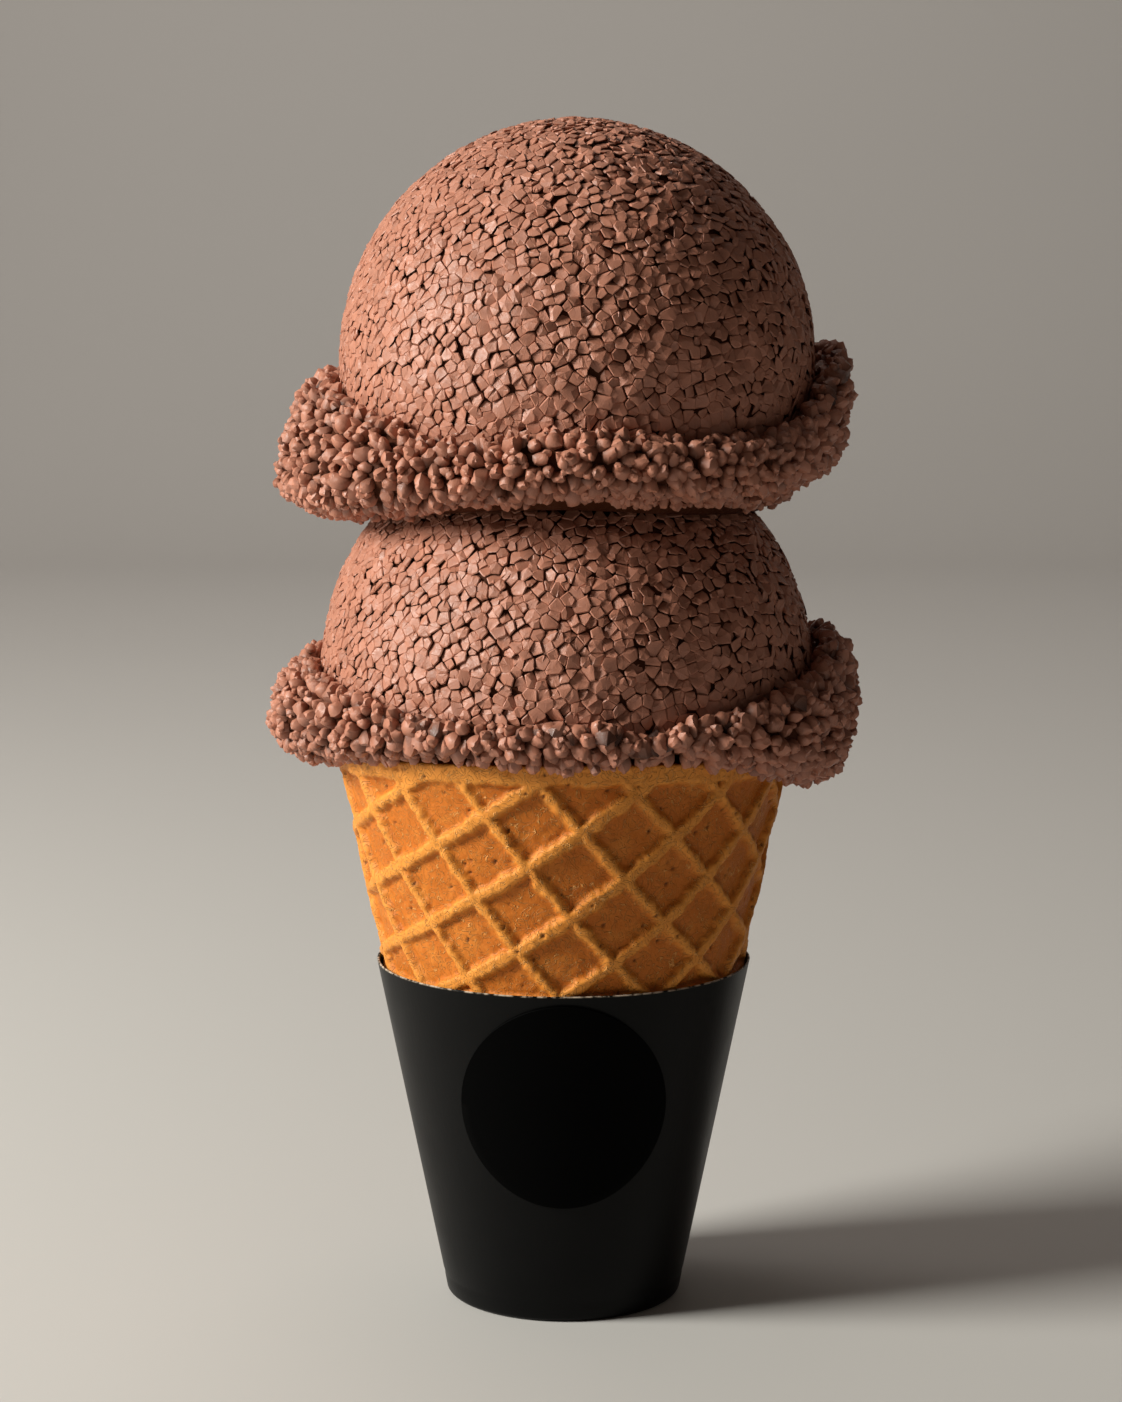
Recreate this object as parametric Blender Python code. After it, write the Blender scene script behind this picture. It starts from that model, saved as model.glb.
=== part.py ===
"""Two scoops of chocolate ice cream on a waffle cone that stands in a tapered black paper sleeve.

Units are metres and +Z is up. The origin is the centre of the sleeve's flat underside, on the floor,
and the front of the piece faces -Y. Directions round the axis are measured from +X towards +Y, so
0 degrees is the right-hand side, 90 the back, 180 the left and 270 the front.

Five solids stand one on another: the sleeve, the round label on its front, the waffle cone inside
it, and the two scoops. Each scoop is a ball with an uneven skirt of ice cream pressed out round its foot.
"""
import math

import bmesh
import bpy
from mathutils.geometry import delaunay_2d_cdt

MM = 0.001
FRONT = 1.5 * math.pi

# ---- sleeve -----------------------------------------------------------------------------------
SLEEVE_HEIGHT = 47.4 * MM
SLEEVE_BASE_RADIUS = 16.3 * MM
SLEEVE_RIM_RADIUS = 26.0 * MM
SLEEVE_WALL = 0.45 * MM
SLEEVE_FLOOR = 0.8 * MM
SLEEVE_FOOT_ROUNDING = 0.7 * MM
SLEEVE_SEGMENTS = 64
SLEEVE_TAPER = (SLEEVE_RIM_RADIUS - SLEEVE_BASE_RADIUS) / SLEEVE_HEIGHT

# ---- round label on the front of the sleeve -----------------------------------------------------
LABEL_HALF_WIDTH = 13.4 * MM
LABEL_HALF_HEIGHT = 14.5 * MM
LABEL_CENTRE_HEIGHT = 31.6 * MM
LABEL_THICKNESS = 0.2 * MM
LABEL_GAP = 0.1 * MM
LABEL_COLUMNS = 28

# ---- waffle cone ---------------------------------------------------------------------------------
PIECE_GAP = 0.35 * MM
CONE_RIM_HEIGHT = 77.4 * MM
CONE_RIM_TILT = 1.0 * MM
CONE_RIM_BEND = 0.5 * MM
CONE_WAVE_START = 50.0 * MM
CONE_BAND_DEPTH = 2.3 * MM
CONE_EDGE_ROUNDING = 0.5 * MM
CONE_SEGMENTS = 50
CONE_SEAM_ROWS = 8
LATTICE_PITCH = 8.52 * MM
LATTICE_TURNS = (math.radians(41.7), math.radians(33.3))
LATTICE_CROSSING_HEIGHT = 57.7 * MM
LATTICE_CROSSING_SHIFT = 1.0 * MM
LATTICE_FOOT_HEIGHT = 46.6 * MM
RIDGE_HEIGHT = 0.9 * MM
RIDGE_TOP_WIDTH = 1.1 * MM
RIDGE_FOOT_WIDTH = 2.6 * MM
SEAM_BAND_WIDTH = 2.6 * MM
FLANK_WIDTH = 0.5 * (RIDGE_FOOT_WIDTH - RIDGE_TOP_WIDTH)
BAND_HEIGHT = CONE_RIM_HEIGHT - CONE_BAND_DEPTH
CONE_FOOT_RADIUS = SLEEVE_BASE_RADIUS - SLEEVE_WALL - PIECE_GAP
CONE_APEX_HEIGHT = -CONE_FOOT_RADIUS / SLEEVE_TAPER
CONE_SLANT = math.atan(SLEEVE_TAPER)

# ---- scoops -------------------------------------------------------------------------------------
SCOOP_SEGMENTS = 52
DOME_RINGS = 8
GROOVE_STEPS = (0.62, 0.28)
GROOVE_CURVE = 1.4
LIP_SWEEP = (90.0, 62.0, 34.0, 6.0, -24.0, -56.0, -90.0)
LOWER_BALL_RADIUS = 33.7 * MM
LOWER_BALL_CENTRE = (0.4 * MM, 0.0, 87.6 * MM)
LOWER_FLAT_RADIUS = 24.5 * MM
LOWER_FLATTENING = 0.45
UPPER_BALL_RADIUS = 32.2 * MM
UPPER_BALL_CENTRE = (1.8 * MM, 0.0, 129.8 * MM)

# The skirts are set by six sizes, in millimetres, at twelve directions 30 degrees apart, starting
# on the right-hand side. "reach" is the outermost radius from the ball's upright axis, "widest" the
# height of that outermost point, "crest" the radius of the lip's top edge, "top" and "bottom" the
# heights of the lip, and "groove" how far the crease between lip and ball lies below its top.
UPPER_SKIRT = {
    "reach": (37.1, 37.0, 36.8, 37.0, 37.8, 39.3, 40.3, 38.8, 36.4, 35.3, 35.2, 35.6),
    "widest": (126.3, 124.0, 122.0, 120.5, 119.0, 116.5, 114.0, 114.5, 115.5, 117.0, 117.0, 118.5),
    "crest": (35.3, 34.9, 34.4, 34.1, 34.0, 33.9, 33.6, 33.0, 32.2, 32.4, 32.2, 33.2),
    "top": (131.3, 130.5, 129.0, 128.0, 127.8, 128.0, 127.7, 123.8, 120.3, 121.9, 120.5, 122.5),
    "bottom": (115.0, 114.5, 113.5, 112.5, 111.5, 110.0, 109.0, 109.8, 111.6, 113.4, 113.0, 113.4),
    "groove": (6.0, 5.0, 4.0, 3.5, 3.0, 3.0, 3.0, 2.0, 1.2, 1.2, 1.2, 2.5),
}
LOWER_SKIRT = {
    "reach": (39.5, 38.9, 38.2, 37.8, 37.9, 39.2, 40.4, 38.3, 36.4, 35.6, 36.6, 38.6),
    "widest": (84.0, 83.5, 82.8, 82.5, 82.3, 82.0, 81.0, 81.6, 82.0, 82.2, 82.0, 82.4),
    "crest": (35.4, 35.6, 35.3, 35.0, 35.0, 35.1, 34.9, 34.8, 34.4, 34.2, 34.6, 36.0),
    "top": (92.9, 91.5, 89.5, 88.0, 88.5, 89.5, 89.6, 87.6, 84.9, 84.8, 84.9, 87.8),
    "bottom": (72.6, 74.5, 76.0, 77.0, 76.5, 75.5, 75.3, 77.8, 80.0, 79.5, 79.8, 75.2),
    "groove": (4.0, 3.5, 2.5, 2.0, 2.0, 2.5, 3.0, 2.0, 1.0, 1.0, 1.2, 2.0),
}
LIP_FULLNESS = 0.72
LIP_LEAST_THICKNESS = 0.8 * MM
LIP_FOLD = 0.4 * MM
UPPER_SEAT_DISTANCES = (28.6 * MM, 26.4 * MM, LOWER_FLAT_RADIUS, 19.0 * MM, 12.0 * MM, 5.5 * MM)

# ---- looks: base colour, roughness --------------------------------------------------------------
SLEEVE_LOOK = ((0.013, 0.013, 0.013, 1.0), 0.45)
LABEL_LOOK = ((0.003, 0.003, 0.003, 1.0), 0.6)
WAFFLE_LOOK = ((0.60, 0.235, 0.055, 1.0), 0.6)
ICE_CREAM_LOOK = ((0.27, 0.125, 0.085, 1.0), 0.5)
SHARP_EDGE = math.radians(38.0)


def sleeve_radius(height):
    """Outer radius of the sleeve's straight taper, which the cone above it carries on."""
    return SLEEVE_BASE_RADIUS + SLEEVE_TAPER * height


def cone_radius(height):
    """Radius of the cone over the tops of its ridges."""
    return sleeve_radius(height) - SLEEVE_WALL - PIECE_GAP


def rim_wave(direction):
    """How far the cone's rim stands above its even height in one direction."""
    return -CONE_RIM_TILT * math.sin(direction) - CONE_RIM_BEND * math.cos(2.0 * direction)


def lift(direction, height):
    """The rim's wave carried down the cone, fading to nothing just above the sleeve."""
    share = (height - CONE_WAVE_START) / (CONE_RIM_HEIGHT - CONE_WAVE_START)
    share = min(max(share, 0.0), 1.0)
    return rim_wave(direction) * share * share * (3.0 - 2.0 * share)


def round_about(sizes, direction):
    """A size in any direction: a smooth closed curve through the twelve values of a skirt."""
    count = len(sizes)
    place = (direction / (2.0 * math.pi)) % 1.0 * count
    index = int(place)
    t = place - index
    before, here, after, beyond = (sizes[(index + step) % count] for step in (-1, 0, 1, 2))
    slope_here = 0.5 * (after - before)
    slope_after = 0.5 * (beyond - here)
    bend = 2.0 * (here - after) + slope_here + slope_after
    sway = 3.0 * (after - here) - 2.0 * slope_here - slope_after
    return (((bend * t + sway) * t + slope_here) * t + here) * MM


def lower_top(distance):
    """Height of the lower ball's upper side at a distance from its axis, flattened under the upper scoop."""
    rise = math.sqrt(max(LOWER_BALL_RADIUS ** 2 - distance ** 2, 0.0))
    if distance >= LOWER_FLAT_RADIUS:
        return LOWER_BALL_CENTRE[2] + rise
    edge = math.sqrt(LOWER_BALL_RADIUS ** 2 - LOWER_FLAT_RADIUS ** 2)
    return LOWER_BALL_CENTRE[2] + edge + LOWER_FLATTENING * (rise - edge)


def upper_top(distance):
    """Height of the upper ball's upper side at a distance from its axis."""
    return UPPER_BALL_CENTRE[2] + math.sqrt(max(UPPER_BALL_RADIUS ** 2 - distance ** 2, 0.0))


def cone_top(direction, share):
    """Height of the cone's closed top at a share of its radius: level at the axis, wavy at the rim."""
    return CONE_RIM_HEIGHT + rim_wave(direction) * share


def clear_scene():
    """Remove every object the scene starts with."""
    for item in list(bpy.data.objects):
        bpy.data.objects.remove(item, do_unlink=True)


def add_object(name, vertices, faces, look, place):
    """Make one named object from a closed mesh: faces outwards, smooth but for sharp edges, one material.

    place is the object's own origin; the vertices are given from the floor and measured from it here.
    """
    mesh = bpy.data.meshes.new(name)
    mesh.from_pydata([tuple(point[axis] - place[axis] for axis in range(3)) for point in vertices], [], faces)
    work = bmesh.new()
    work.from_mesh(mesh)
    bmesh.ops.recalc_face_normals(work, faces=work.faces)
    work.to_mesh(mesh)
    work.free()
    mesh.polygons.foreach_set("use_smooth", [True] * len(mesh.polygons))
    mesh.set_sharp_from_angle(angle=SHARP_EDGE)
    material = bpy.data.materials.new(name)
    material.use_nodes = True
    shader = material.node_tree.nodes["Principled BSDF"]
    shader.inputs["Base Color"].default_value = look[0]
    shader.inputs["Roughness"].default_value = look[1]
    shader.inputs["Metallic"].default_value = 0.0
    mesh.materials.append(material)
    item = bpy.data.objects.new(name, mesh)
    item.location = place
    bpy.context.scene.collection.objects.link(item)
    return item


def loft(rings, start, end):
    """Vertices and faces of a closed body: rings of equal length between two closing points."""
    count = len(rings[0])
    vertices = [start]
    for ring in rings:
        vertices.extend(ring)
    vertices.append(end)
    last = len(vertices) - 1
    faces = []
    for step in range(count):
        following = (step + 1) % count
        faces.append((0, 1 + following, 1 + step))
        faces.append((last, last - count + step, last - count + following))
    for row in range(len(rings) - 1):
        low = 1 + row * count
        high = low + count
        for step in range(count):
            following = (step + 1) % count
            faces.append((low + step, low + following, high + following, high + step))
    return vertices, faces


def level_ring(radius, height, count):
    """A level circle of points about the upright axis."""
    turns = [2.0 * math.pi * step / count for step in range(count)]
    return [(radius * math.cos(turn), radius * math.sin(turn), height) for turn in turns]


def build_sleeve():
    """The tapered cup: a thin wall with a closed flat floor and a small rounding round its foot."""
    outside = []
    steps = 3
    for step in range(steps + 1):
        turn = 0.5 * math.pi * step / steps
        inset = SLEEVE_FOOT_ROUNDING * (1.0 - math.sin(turn))
        height = SLEEVE_FOOT_ROUNDING * (1.0 - math.cos(turn))
        outside.append((sleeve_radius(height) - inset, height))
    bevel = 0.3 * SLEEVE_WALL
    outside.append((SLEEVE_RIM_RADIUS - SLEEVE_TAPER * bevel, SLEEVE_HEIGHT - bevel))
    outside.append((SLEEVE_RIM_RADIUS - bevel, SLEEVE_HEIGHT))
    inside = [(SLEEVE_RIM_RADIUS - SLEEVE_WALL, SLEEVE_HEIGHT),
              (sleeve_radius(SLEEVE_FLOOR) - SLEEVE_WALL, SLEEVE_FLOOR)]
    rings = [level_ring(radius, height, SLEEVE_SEGMENTS) for radius, height in outside + inside]
    vertices, faces = loft(rings, (0.0, 0.0, 0.0), (0.0, 0.0, SLEEVE_FLOOR))
    return add_object("sleeve", vertices, faces, SLEEVE_LOOK, (0.0, 0.0, 0.0))


def label_span(direction):
    """Lower and upper edge of the label in one direction, or None beyond its sides.

    The outline is an ellipse seen from the front, laid back onto the tapered wall, so its height
    solves a quadratic in which the wall's radius grows with the height.
    """
    sine = math.cos(direction)
    a = (SLEEVE_TAPER * sine / LABEL_HALF_WIDTH) ** 2 + 1.0 / LABEL_HALF_HEIGHT ** 2
    b = 2.0 * (SLEEVE_TAPER * SLEEVE_BASE_RADIUS * sine ** 2 / LABEL_HALF_WIDTH ** 2
               - LABEL_CENTRE_HEIGHT / LABEL_HALF_HEIGHT ** 2)
    c = ((SLEEVE_BASE_RADIUS * sine / LABEL_HALF_WIDTH) ** 2
         + (LABEL_CENTRE_HEIGHT / LABEL_HALF_HEIGHT) ** 2 - 1.0)
    inner = b * b - 4.0 * a * c
    if inner < 0.0:
        return None
    root = math.sqrt(inner)
    return (-b - root) / (2.0 * a), (-b + root) / (2.0 * a)


def build_label():
    """The thin round label: upright strips that follow the sleeve, closed round the outline."""
    inside_turn = 0.0
    outside_turn = 0.5 * math.pi
    for _ in range(50):
        middle = 0.5 * (inside_turn + outside_turn)
        if label_span(FRONT + middle) is None:
            outside_turn = middle
        else:
            inside_turn = middle
    outline_low = []
    outline_high = []
    for column in range(1, LABEL_COLUMNS):
        share = math.sin(math.pi * (column / LABEL_COLUMNS - 0.5))
        direction = FRONT + inside_turn * share
        low, high = label_span(direction)
        outline_low.append((direction, low))
        outline_high.append((direction, high))
    tips = []
    for side in (-1.0, 1.0):
        direction = FRONT + side * inside_turn
        low, high = label_span(direction)
        tips.append((direction, 0.5 * (low + high)))
    order = [tips[0]] + outline_low + [tips[1]] + outline_high[::-1]
    vertices = []
    for offset in (LABEL_GAP, LABEL_GAP + LABEL_THICKNESS):
        for direction, height in order:
            radius = sleeve_radius(height) + offset
            vertices.append((radius * math.cos(direction), radius * math.sin(direction), height))
    count = len(order)
    columns = LABEL_COLUMNS - 1
    faces = []
    for base in (0, count):
        faces.append((base, base + 1, base + count - 1))
        for step in range(1, columns):
            faces.append((base + step, base + step + 1, base + count - step - 1, base + count - step))
        faces.append((base + columns, base + columns + 1, base + columns + 2))
    for step in range(count):
        following = (step + 1) % count
        faces.append((step, following, count + following, count + step))
    return add_object("sleeve_label", vertices, faces, LABEL_LOOK, (0.0, 0.0, LABEL_CENTRE_HEIGHT))


def to_sheet(turn, height):
    """Lay a point of the cone out flat: turn from the front and height to flat sheet coordinates."""
    slant = (height - CONE_APEX_HEIGHT) / math.cos(CONE_SLANT)
    angle = turn * math.sin(CONE_SLANT)
    return slant * math.sin(angle), slant * math.cos(angle)


def from_sheet(across, along):
    """Roll a point of the flat sheet back onto the cone: its turn from the front and its height."""
    slant = math.hypot(across, along)
    angle = math.atan2(across, along)
    return angle / math.sin(CONE_SLANT), slant * math.cos(CONE_SLANT) + CONE_APEX_HEIGHT


CROSSING = to_sheet(LATTICE_CROSSING_SHIFT / cone_radius(LATTICE_CROSSING_HEIGHT), LATTICE_CROSSING_HEIGHT)


def lattice_to_sheet(first, second):
    """Sheet point of a lattice coordinate pair; whole numbers lie on the middles of ridges."""
    one, other = LATTICE_TURNS
    size = LATTICE_PITCH / math.cos(one - other)
    return (CROSSING[0] + size * (first * math.cos(other) - second * math.sin(one)),
            CROSSING[1] + size * (first * math.sin(other) + second * math.cos(one)))


def sheet_to_lattice(across, along):
    """Lattice coordinates of a sheet point, counted in pitches from one crossing of two ridges."""
    one, other = LATTICE_TURNS
    across = (across - CROSSING[0]) / LATTICE_PITCH
    along = (along - CROSSING[1]) / LATTICE_PITCH
    return (across * math.cos(one) + along * math.sin(one),
            along * math.cos(other) - across * math.sin(other))


def ridge(distance):
    """Height of a ridge at a distance from its middle: a flat top between straight flanks."""
    share = (0.5 * RIDGE_FOOT_WIDTH - distance) / FLANK_WIDTH
    return RIDGE_HEIGHT * min(max(share, 0.0), 1.0)


def relief(turn, height):
    """Height of the waffle pattern over its wells: both families of ridges, the rim band and the seam."""
    first, second = sheet_to_lattice(*to_sheet(turn, height))
    half_top = 0.5 * RIDGE_TOP_WIDTH
    seam = (math.pi - abs(turn)) * cone_radius(height) - 0.5 * SEAM_BAND_WIDTH
    return max(ridge(abs(first - round(first)) * LATTICE_PITCH),
               ridge(abs(second - round(second)) * LATTICE_PITCH),
               ridge(max(BAND_HEIGHT - height, 0.0) + half_top),
               ridge(max(height - LATTICE_FOOT_HEIGHT, 0.0) + half_top),
               ridge(max(seam, 0.0) + half_top))


def clip(start, end, left, right, low, high):
    """The part of a segment that lies inside an upright rectangle, or None."""
    near = 0.0
    far = 1.0
    for axis, lowest, highest in ((0, left, right), (1, low, high)):
        run = end[axis] - start[axis]
        if abs(run) < 1e-12:
            if not lowest <= start[axis] <= highest:
                return None
            continue
        ends = sorted(((lowest - start[axis]) / run, (highest - start[axis]) / run))
        near = max(near, ends[0])
        far = min(far, ends[1])
    if far - near < 1e-6:
        return None
    return tuple(tuple(start[axis] + t * (end[axis] - start[axis]) for axis in (0, 1)) for t in (near, far))


def waffle_sheet():
    """Triangles of the patterned wall in flat coordinates: turn times a middle radius, and height.

    The edges of ridges, rim band and seam band are kept as edges of the triangulation, so the
    flanks of the pattern are crisp. Both seam edges carry points at the same heights.
    """
    middle_radius = cone_radius(LATTICE_CROSSING_HEIGHT)
    half_width = math.pi * middle_radius
    floor = LATTICE_FOOT_HEIGHT - FLANK_WIDTH
    ceiling = CONE_RIM_HEIGHT - CONE_EDGE_ROUNDING
    seam = 0.5 * SEAM_BAND_WIDTH
    points = []
    edges = []

    def add_line(line):
        first = len(points)
        points.extend(line)
        edges.extend((first + step, first + step + 1) for step in range(len(line) - 1))

    for height in (floor, LATTICE_FOOT_HEIGHT, LATTICE_FOOT_HEIGHT + FLANK_WIDTH, BAND_HEIGHT - FLANK_WIDTH,
                   BAND_HEIGHT, ceiling):
        add_line([(half_width * (2.0 * step / CONE_SEGMENTS - 1.0), height)
                  for step in range(CONE_SEGMENTS + 1)])
    for inset in (0.0, seam, seam + FLANK_WIDTH):
        for side in (-1.0, 1.0):
            add_line([(side * (half_width - inset), floor + (ceiling - floor) * row / CONE_SEAM_ROWS)
                      for row in range(CONE_SEAM_ROWS + 1)])
    marks = []
    half_top = 0.5 * RIDGE_TOP_WIDTH / LATTICE_PITCH
    half_foot = 0.5 * RIDGE_FOOT_WIDTH / LATTICE_PITCH
    reach = int(1.2 * half_width / LATTICE_PITCH) + 4
    for whole in range(-reach, reach + 1):
        marks.extend((whole - half_foot, whole - half_top, whole + half_top, whole + half_foot))

    def flat(first, second):
        turn, height = from_sheet(*lattice_to_sheet(first, second))
        return turn * middle_radius, height

    bounds = (seam - half_width, half_width - seam, LATTICE_FOOT_HEIGHT, BAND_HEIGHT)
    for mark in marks:
        for index in range(len(marks) - 1):
            for along in (True, False):
                ends = [(mark, marks[index + side]) for side in (0, 1)]
                if not along:
                    ends = [(pair[1], pair[0]) for pair in ends]
                piece = clip(flat(*ends[0]), flat(*ends[1]), *bounds)
                if piece:
                    add_line(list(piece))
    found, _, triangles, _, _, _ = delaunay_2d_cdt(points, edges, [], 0, 2e-6)
    return [(point[0] / middle_radius, point[1]) for point in found], triangles


def build_cone():
    """The solid cone: patterned wall, plain taper down inside the sleeve and a closed, wavy top."""
    sheet, triangles = waffle_sheet()
    floor = min(height for _, height in sheet)
    ceiling = max(height for _, height in sheet)
    tiny = 1e-6
    left_edge = {round(height / tiny): index for index, (turn, height) in enumerate(sheet)
                 if turn < tiny - math.pi}
    order = {}
    vertices = []
    for index, (turn, height) in enumerate(sheet):
        if turn > math.pi - tiny:
            continue
        radius = cone_radius(height) - RIDGE_HEIGHT + relief(turn, height)
        direction = FRONT + turn
        order[index] = len(vertices)
        vertices.append((radius * math.cos(direction), radius * math.sin(direction),
                         height + lift(direction, height)))
    for index, (turn, height) in enumerate(sheet):
        if turn > math.pi - tiny:
            order[index] = order[left_edge[round(height / tiny)]]
    faces = [tuple(order[index] for index in triangle) for triangle in triangles]
    low_ring = sorted((turn, order[index]) for index, (turn, height) in enumerate(sheet)
                      if height < floor + tiny and turn < math.pi - tiny)
    high_ring = sorted((turn, order[index]) for index, (turn, height) in enumerate(sheet)
                       if height > ceiling - tiny and turn < math.pi - tiny)

    def carry_on(ring, radius_at, height_at):
        added = []
        for turn, _ in ring:
            direction = FRONT + turn
            added.append((turn, len(vertices)))
            vertices.append((radius_at * math.cos(direction), radius_at * math.sin(direction),
                             height_at(direction)))
        join(ring, added)
        return added

    def join(ring, added):
        for step in range(len(ring)):
            following = (step + 1) % len(ring)
            faces.append((ring[step][1], ring[following][1], added[following][1], added[step][1]))

    def close(ring, height):
        tip = len(vertices)
        vertices.append((0.0, 0.0, height))
        for step in range(len(ring)):
            faces.append((ring[step][1], ring[(step + 1) % len(ring)][1], tip))

    seat = SLEEVE_FLOOR + PIECE_GAP
    low_ring = carry_on(low_ring, cone_radius(seat), lambda direction: seat)
    close(low_ring, seat)
    edge_radius = cone_radius(CONE_RIM_HEIGHT) - CONE_EDGE_ROUNDING
    high_ring = carry_on(high_ring, edge_radius, lambda direction: cone_top(direction, 1.0))
    close(high_ring, CONE_RIM_HEIGHT)
    return add_object("waffle_cone", vertices, faces, WAFFLE_LOOK, (0.0, 0.0, seat))


def ball_radius_at(height, radius, centre_height):
    """Radius of a ball's level cut at a height."""
    return math.sqrt(max(radius * radius - (height - centre_height) ** 2, 0.0))


def scoop_profile(direction, skirt, radius, centre, crown):
    """Profile of a scoop in one direction, from near its top down round the skirt to the lip's underside.

    The ball's arc runs down to the crease. The groove rises from there to the lip's crest, and the
    sweep, a quarter of an ellipse above the widest point and one below, carries on to the underside.
    """
    reach = round_about(skirt["reach"], direction)
    widest = round_about(skirt["widest"], direction)
    top = round_about(skirt["top"], direction)
    bottom = round_about(skirt["bottom"], direction)
    crease = top - round_about(skirt["groove"], direction)
    crease_angle = math.acos((crease - centre[2]) / radius)
    profile = []
    for ring in range(1, DOME_RINGS + 2):
        angle = crease_angle * ring / (DOME_RINGS + 1)
        across = radius * math.sin(angle)
        height = crown(across) if angle < 0.5 * math.pi else centre[2] + radius * math.cos(angle)
        profile.append((across, height))
    crest = round_about(skirt["crest"], direction)
    foot = profile[-1][0]
    for share in GROOVE_STEPS:
        profile.append((crest + (foot - crest) * share, top + (crease - top) * share ** GROOVE_CURVE))
    overhang = reach - ball_radius_at(0.5 * (top + bottom), radius, centre[2])
    under = reach - LIP_FULLNESS * overhang - LIP_LEAST_THICKNESS
    for degrees in LIP_SWEEP:
        outward = math.cos(math.radians(degrees))
        upward = math.sin(math.radians(degrees))
        edge, end = (crest, top) if upward > 0.0 else (under, bottom)
        profile.append((edge + (reach - edge) * outward, widest + (end - widest) * abs(upward)))
    return profile


def build_scoop(name, skirt, radius, centre, crown, underside):
    """One scoop: profiles all round, closed over the top of the ball and across the underside.

    crown gives the height of the ball's upper side at a distance from its axis. underside gives the
    rest of each profile towards the axis, from its direction and its lip point, and, without a lip
    point, the height at the axis itself.
    """
    profiles = []
    for step in range(SCOOP_SEGMENTS):
        direction = 2.0 * math.pi * step / SCOOP_SEGMENTS
        profile = scoop_profile(direction, skirt, radius, centre, crown)
        profile.extend(underside(direction, profile[-1]))
        profiles.append([(centre[0] + across * math.cos(direction), centre[1] + across * math.sin(direction),
                          height) for across, height in profile])
    rings = [list(ring) for ring in zip(*profiles)]
    start = (centre[0], centre[1], crown(0.0))
    end = (centre[0], centre[1], underside(0.0, None))
    vertices, faces = loft(rings, start, end)
    return add_object(name, vertices, faces, ICE_CREAM_LOOK, centre)


def lower_underside(direction, lip):
    """Underside of the lower scoop: clear of the cone's rim outside, then flat on the cone's top."""
    if lip is None:
        return cone_top(0.0, 0.0) + PIECE_GAP
    outside = cone_radius(CONE_RIM_HEIGHT) + 2.0 * PIECE_GAP
    rest = cone_top(direction, 1.0) + PIECE_GAP
    fold = max(min(lip[1] + LIP_FOLD, rest), lip[1])
    return [(outside + LIP_FOLD, fold),
            (outside, max(rest, lip[1])),
            (0.5 * outside, cone_top(direction, 0.5) + 2.0 * PIECE_GAP)]


def upper_underside(direction, lip):
    """Underside of the upper scoop: from the lip in to the lower ball, then over its flattened top.

    The rings keep set distances from the lower ball's axis, so one follows the edge of its flat cap.
    """
    shift = UPPER_BALL_CENTRE[0] - LOWER_BALL_CENTRE[0]
    if lip is None:
        return lower_top(shift) + PIECE_GAP
    steps = []
    for distance in UPPER_SEAT_DISTANCES:
        across = math.sqrt(distance ** 2 - (shift * math.sin(direction)) ** 2) - shift * math.cos(direction)
        seat = lower_top(distance) + PIECE_GAP
        share = min((lip[0] - across) / (lip[0] - LOWER_FLAT_RADIUS), 1.0)
        height = lip[1] + (seat - lip[1]) * share * share
        steps.append((across, max(height, seat)))
    return steps


def main():
    """Build the five pieces from the floor up, all held by one empty at the origin."""
    clear_scene()
    stand = bpy.data.objects.new("ice_cream_cone", None)
    stand.empty_display_size = SLEEVE_BASE_RADIUS
    bpy.context.scene.collection.objects.link(stand)
    pieces = [
        build_sleeve(),
        build_label(),
        build_cone(),
        build_scoop("lower_scoop", LOWER_SKIRT, LOWER_BALL_RADIUS, LOWER_BALL_CENTRE, lower_top,
                    lower_underside),
        build_scoop("upper_scoop", UPPER_SKIRT, UPPER_BALL_RADIUS, UPPER_BALL_CENTRE, upper_top,
                    upper_underside),
    ]
    for piece in pieces:
        piece.parent = stand


main()
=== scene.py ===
"""Looks of a chocolate ice cream cone: two scoops on a waffle cone in a tapered black paper sleeve.

The file is laid out as an add-on and run as a script. Each operator makes one piece, or one group of
like pieces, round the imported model. Sizes are in metres and +Z is up. Directions round the axis are
measured from +X towards +Y, so the front of the cone is at 270 degrees.
"""
import math

import bpy
import numpy as np
from bpy.props import FloatProperty, FloatVectorProperty, IntProperty, PointerProperty
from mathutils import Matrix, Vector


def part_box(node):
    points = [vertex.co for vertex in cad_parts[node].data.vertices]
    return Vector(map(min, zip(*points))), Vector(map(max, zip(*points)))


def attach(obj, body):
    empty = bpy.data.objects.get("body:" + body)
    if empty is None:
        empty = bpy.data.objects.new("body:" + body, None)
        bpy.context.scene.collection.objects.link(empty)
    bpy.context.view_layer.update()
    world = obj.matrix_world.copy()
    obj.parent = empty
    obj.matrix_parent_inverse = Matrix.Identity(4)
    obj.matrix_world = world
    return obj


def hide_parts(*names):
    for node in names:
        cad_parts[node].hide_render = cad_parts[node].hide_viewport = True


bl_info = {
    "name": "Ice cream cone",
    "version": (1, 0, 0),
    "blender": (4, 5, 0),
    "location": "3D View > Sidebar > Ice cream",
    "description": "Builds the scoops, waffle cone and paper sleeve of an ice cream cone",
    "category": "Object",
}

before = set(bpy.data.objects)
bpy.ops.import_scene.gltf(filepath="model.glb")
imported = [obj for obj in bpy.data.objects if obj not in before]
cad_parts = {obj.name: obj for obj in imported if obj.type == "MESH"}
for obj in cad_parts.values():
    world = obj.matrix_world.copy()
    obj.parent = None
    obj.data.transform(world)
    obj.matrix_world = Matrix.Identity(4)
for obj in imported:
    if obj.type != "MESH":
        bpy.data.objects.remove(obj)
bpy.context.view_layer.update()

MM = 0.001
FULL_TURN = 2.0 * math.pi
FRONT = 1.5 * math.pi

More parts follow.
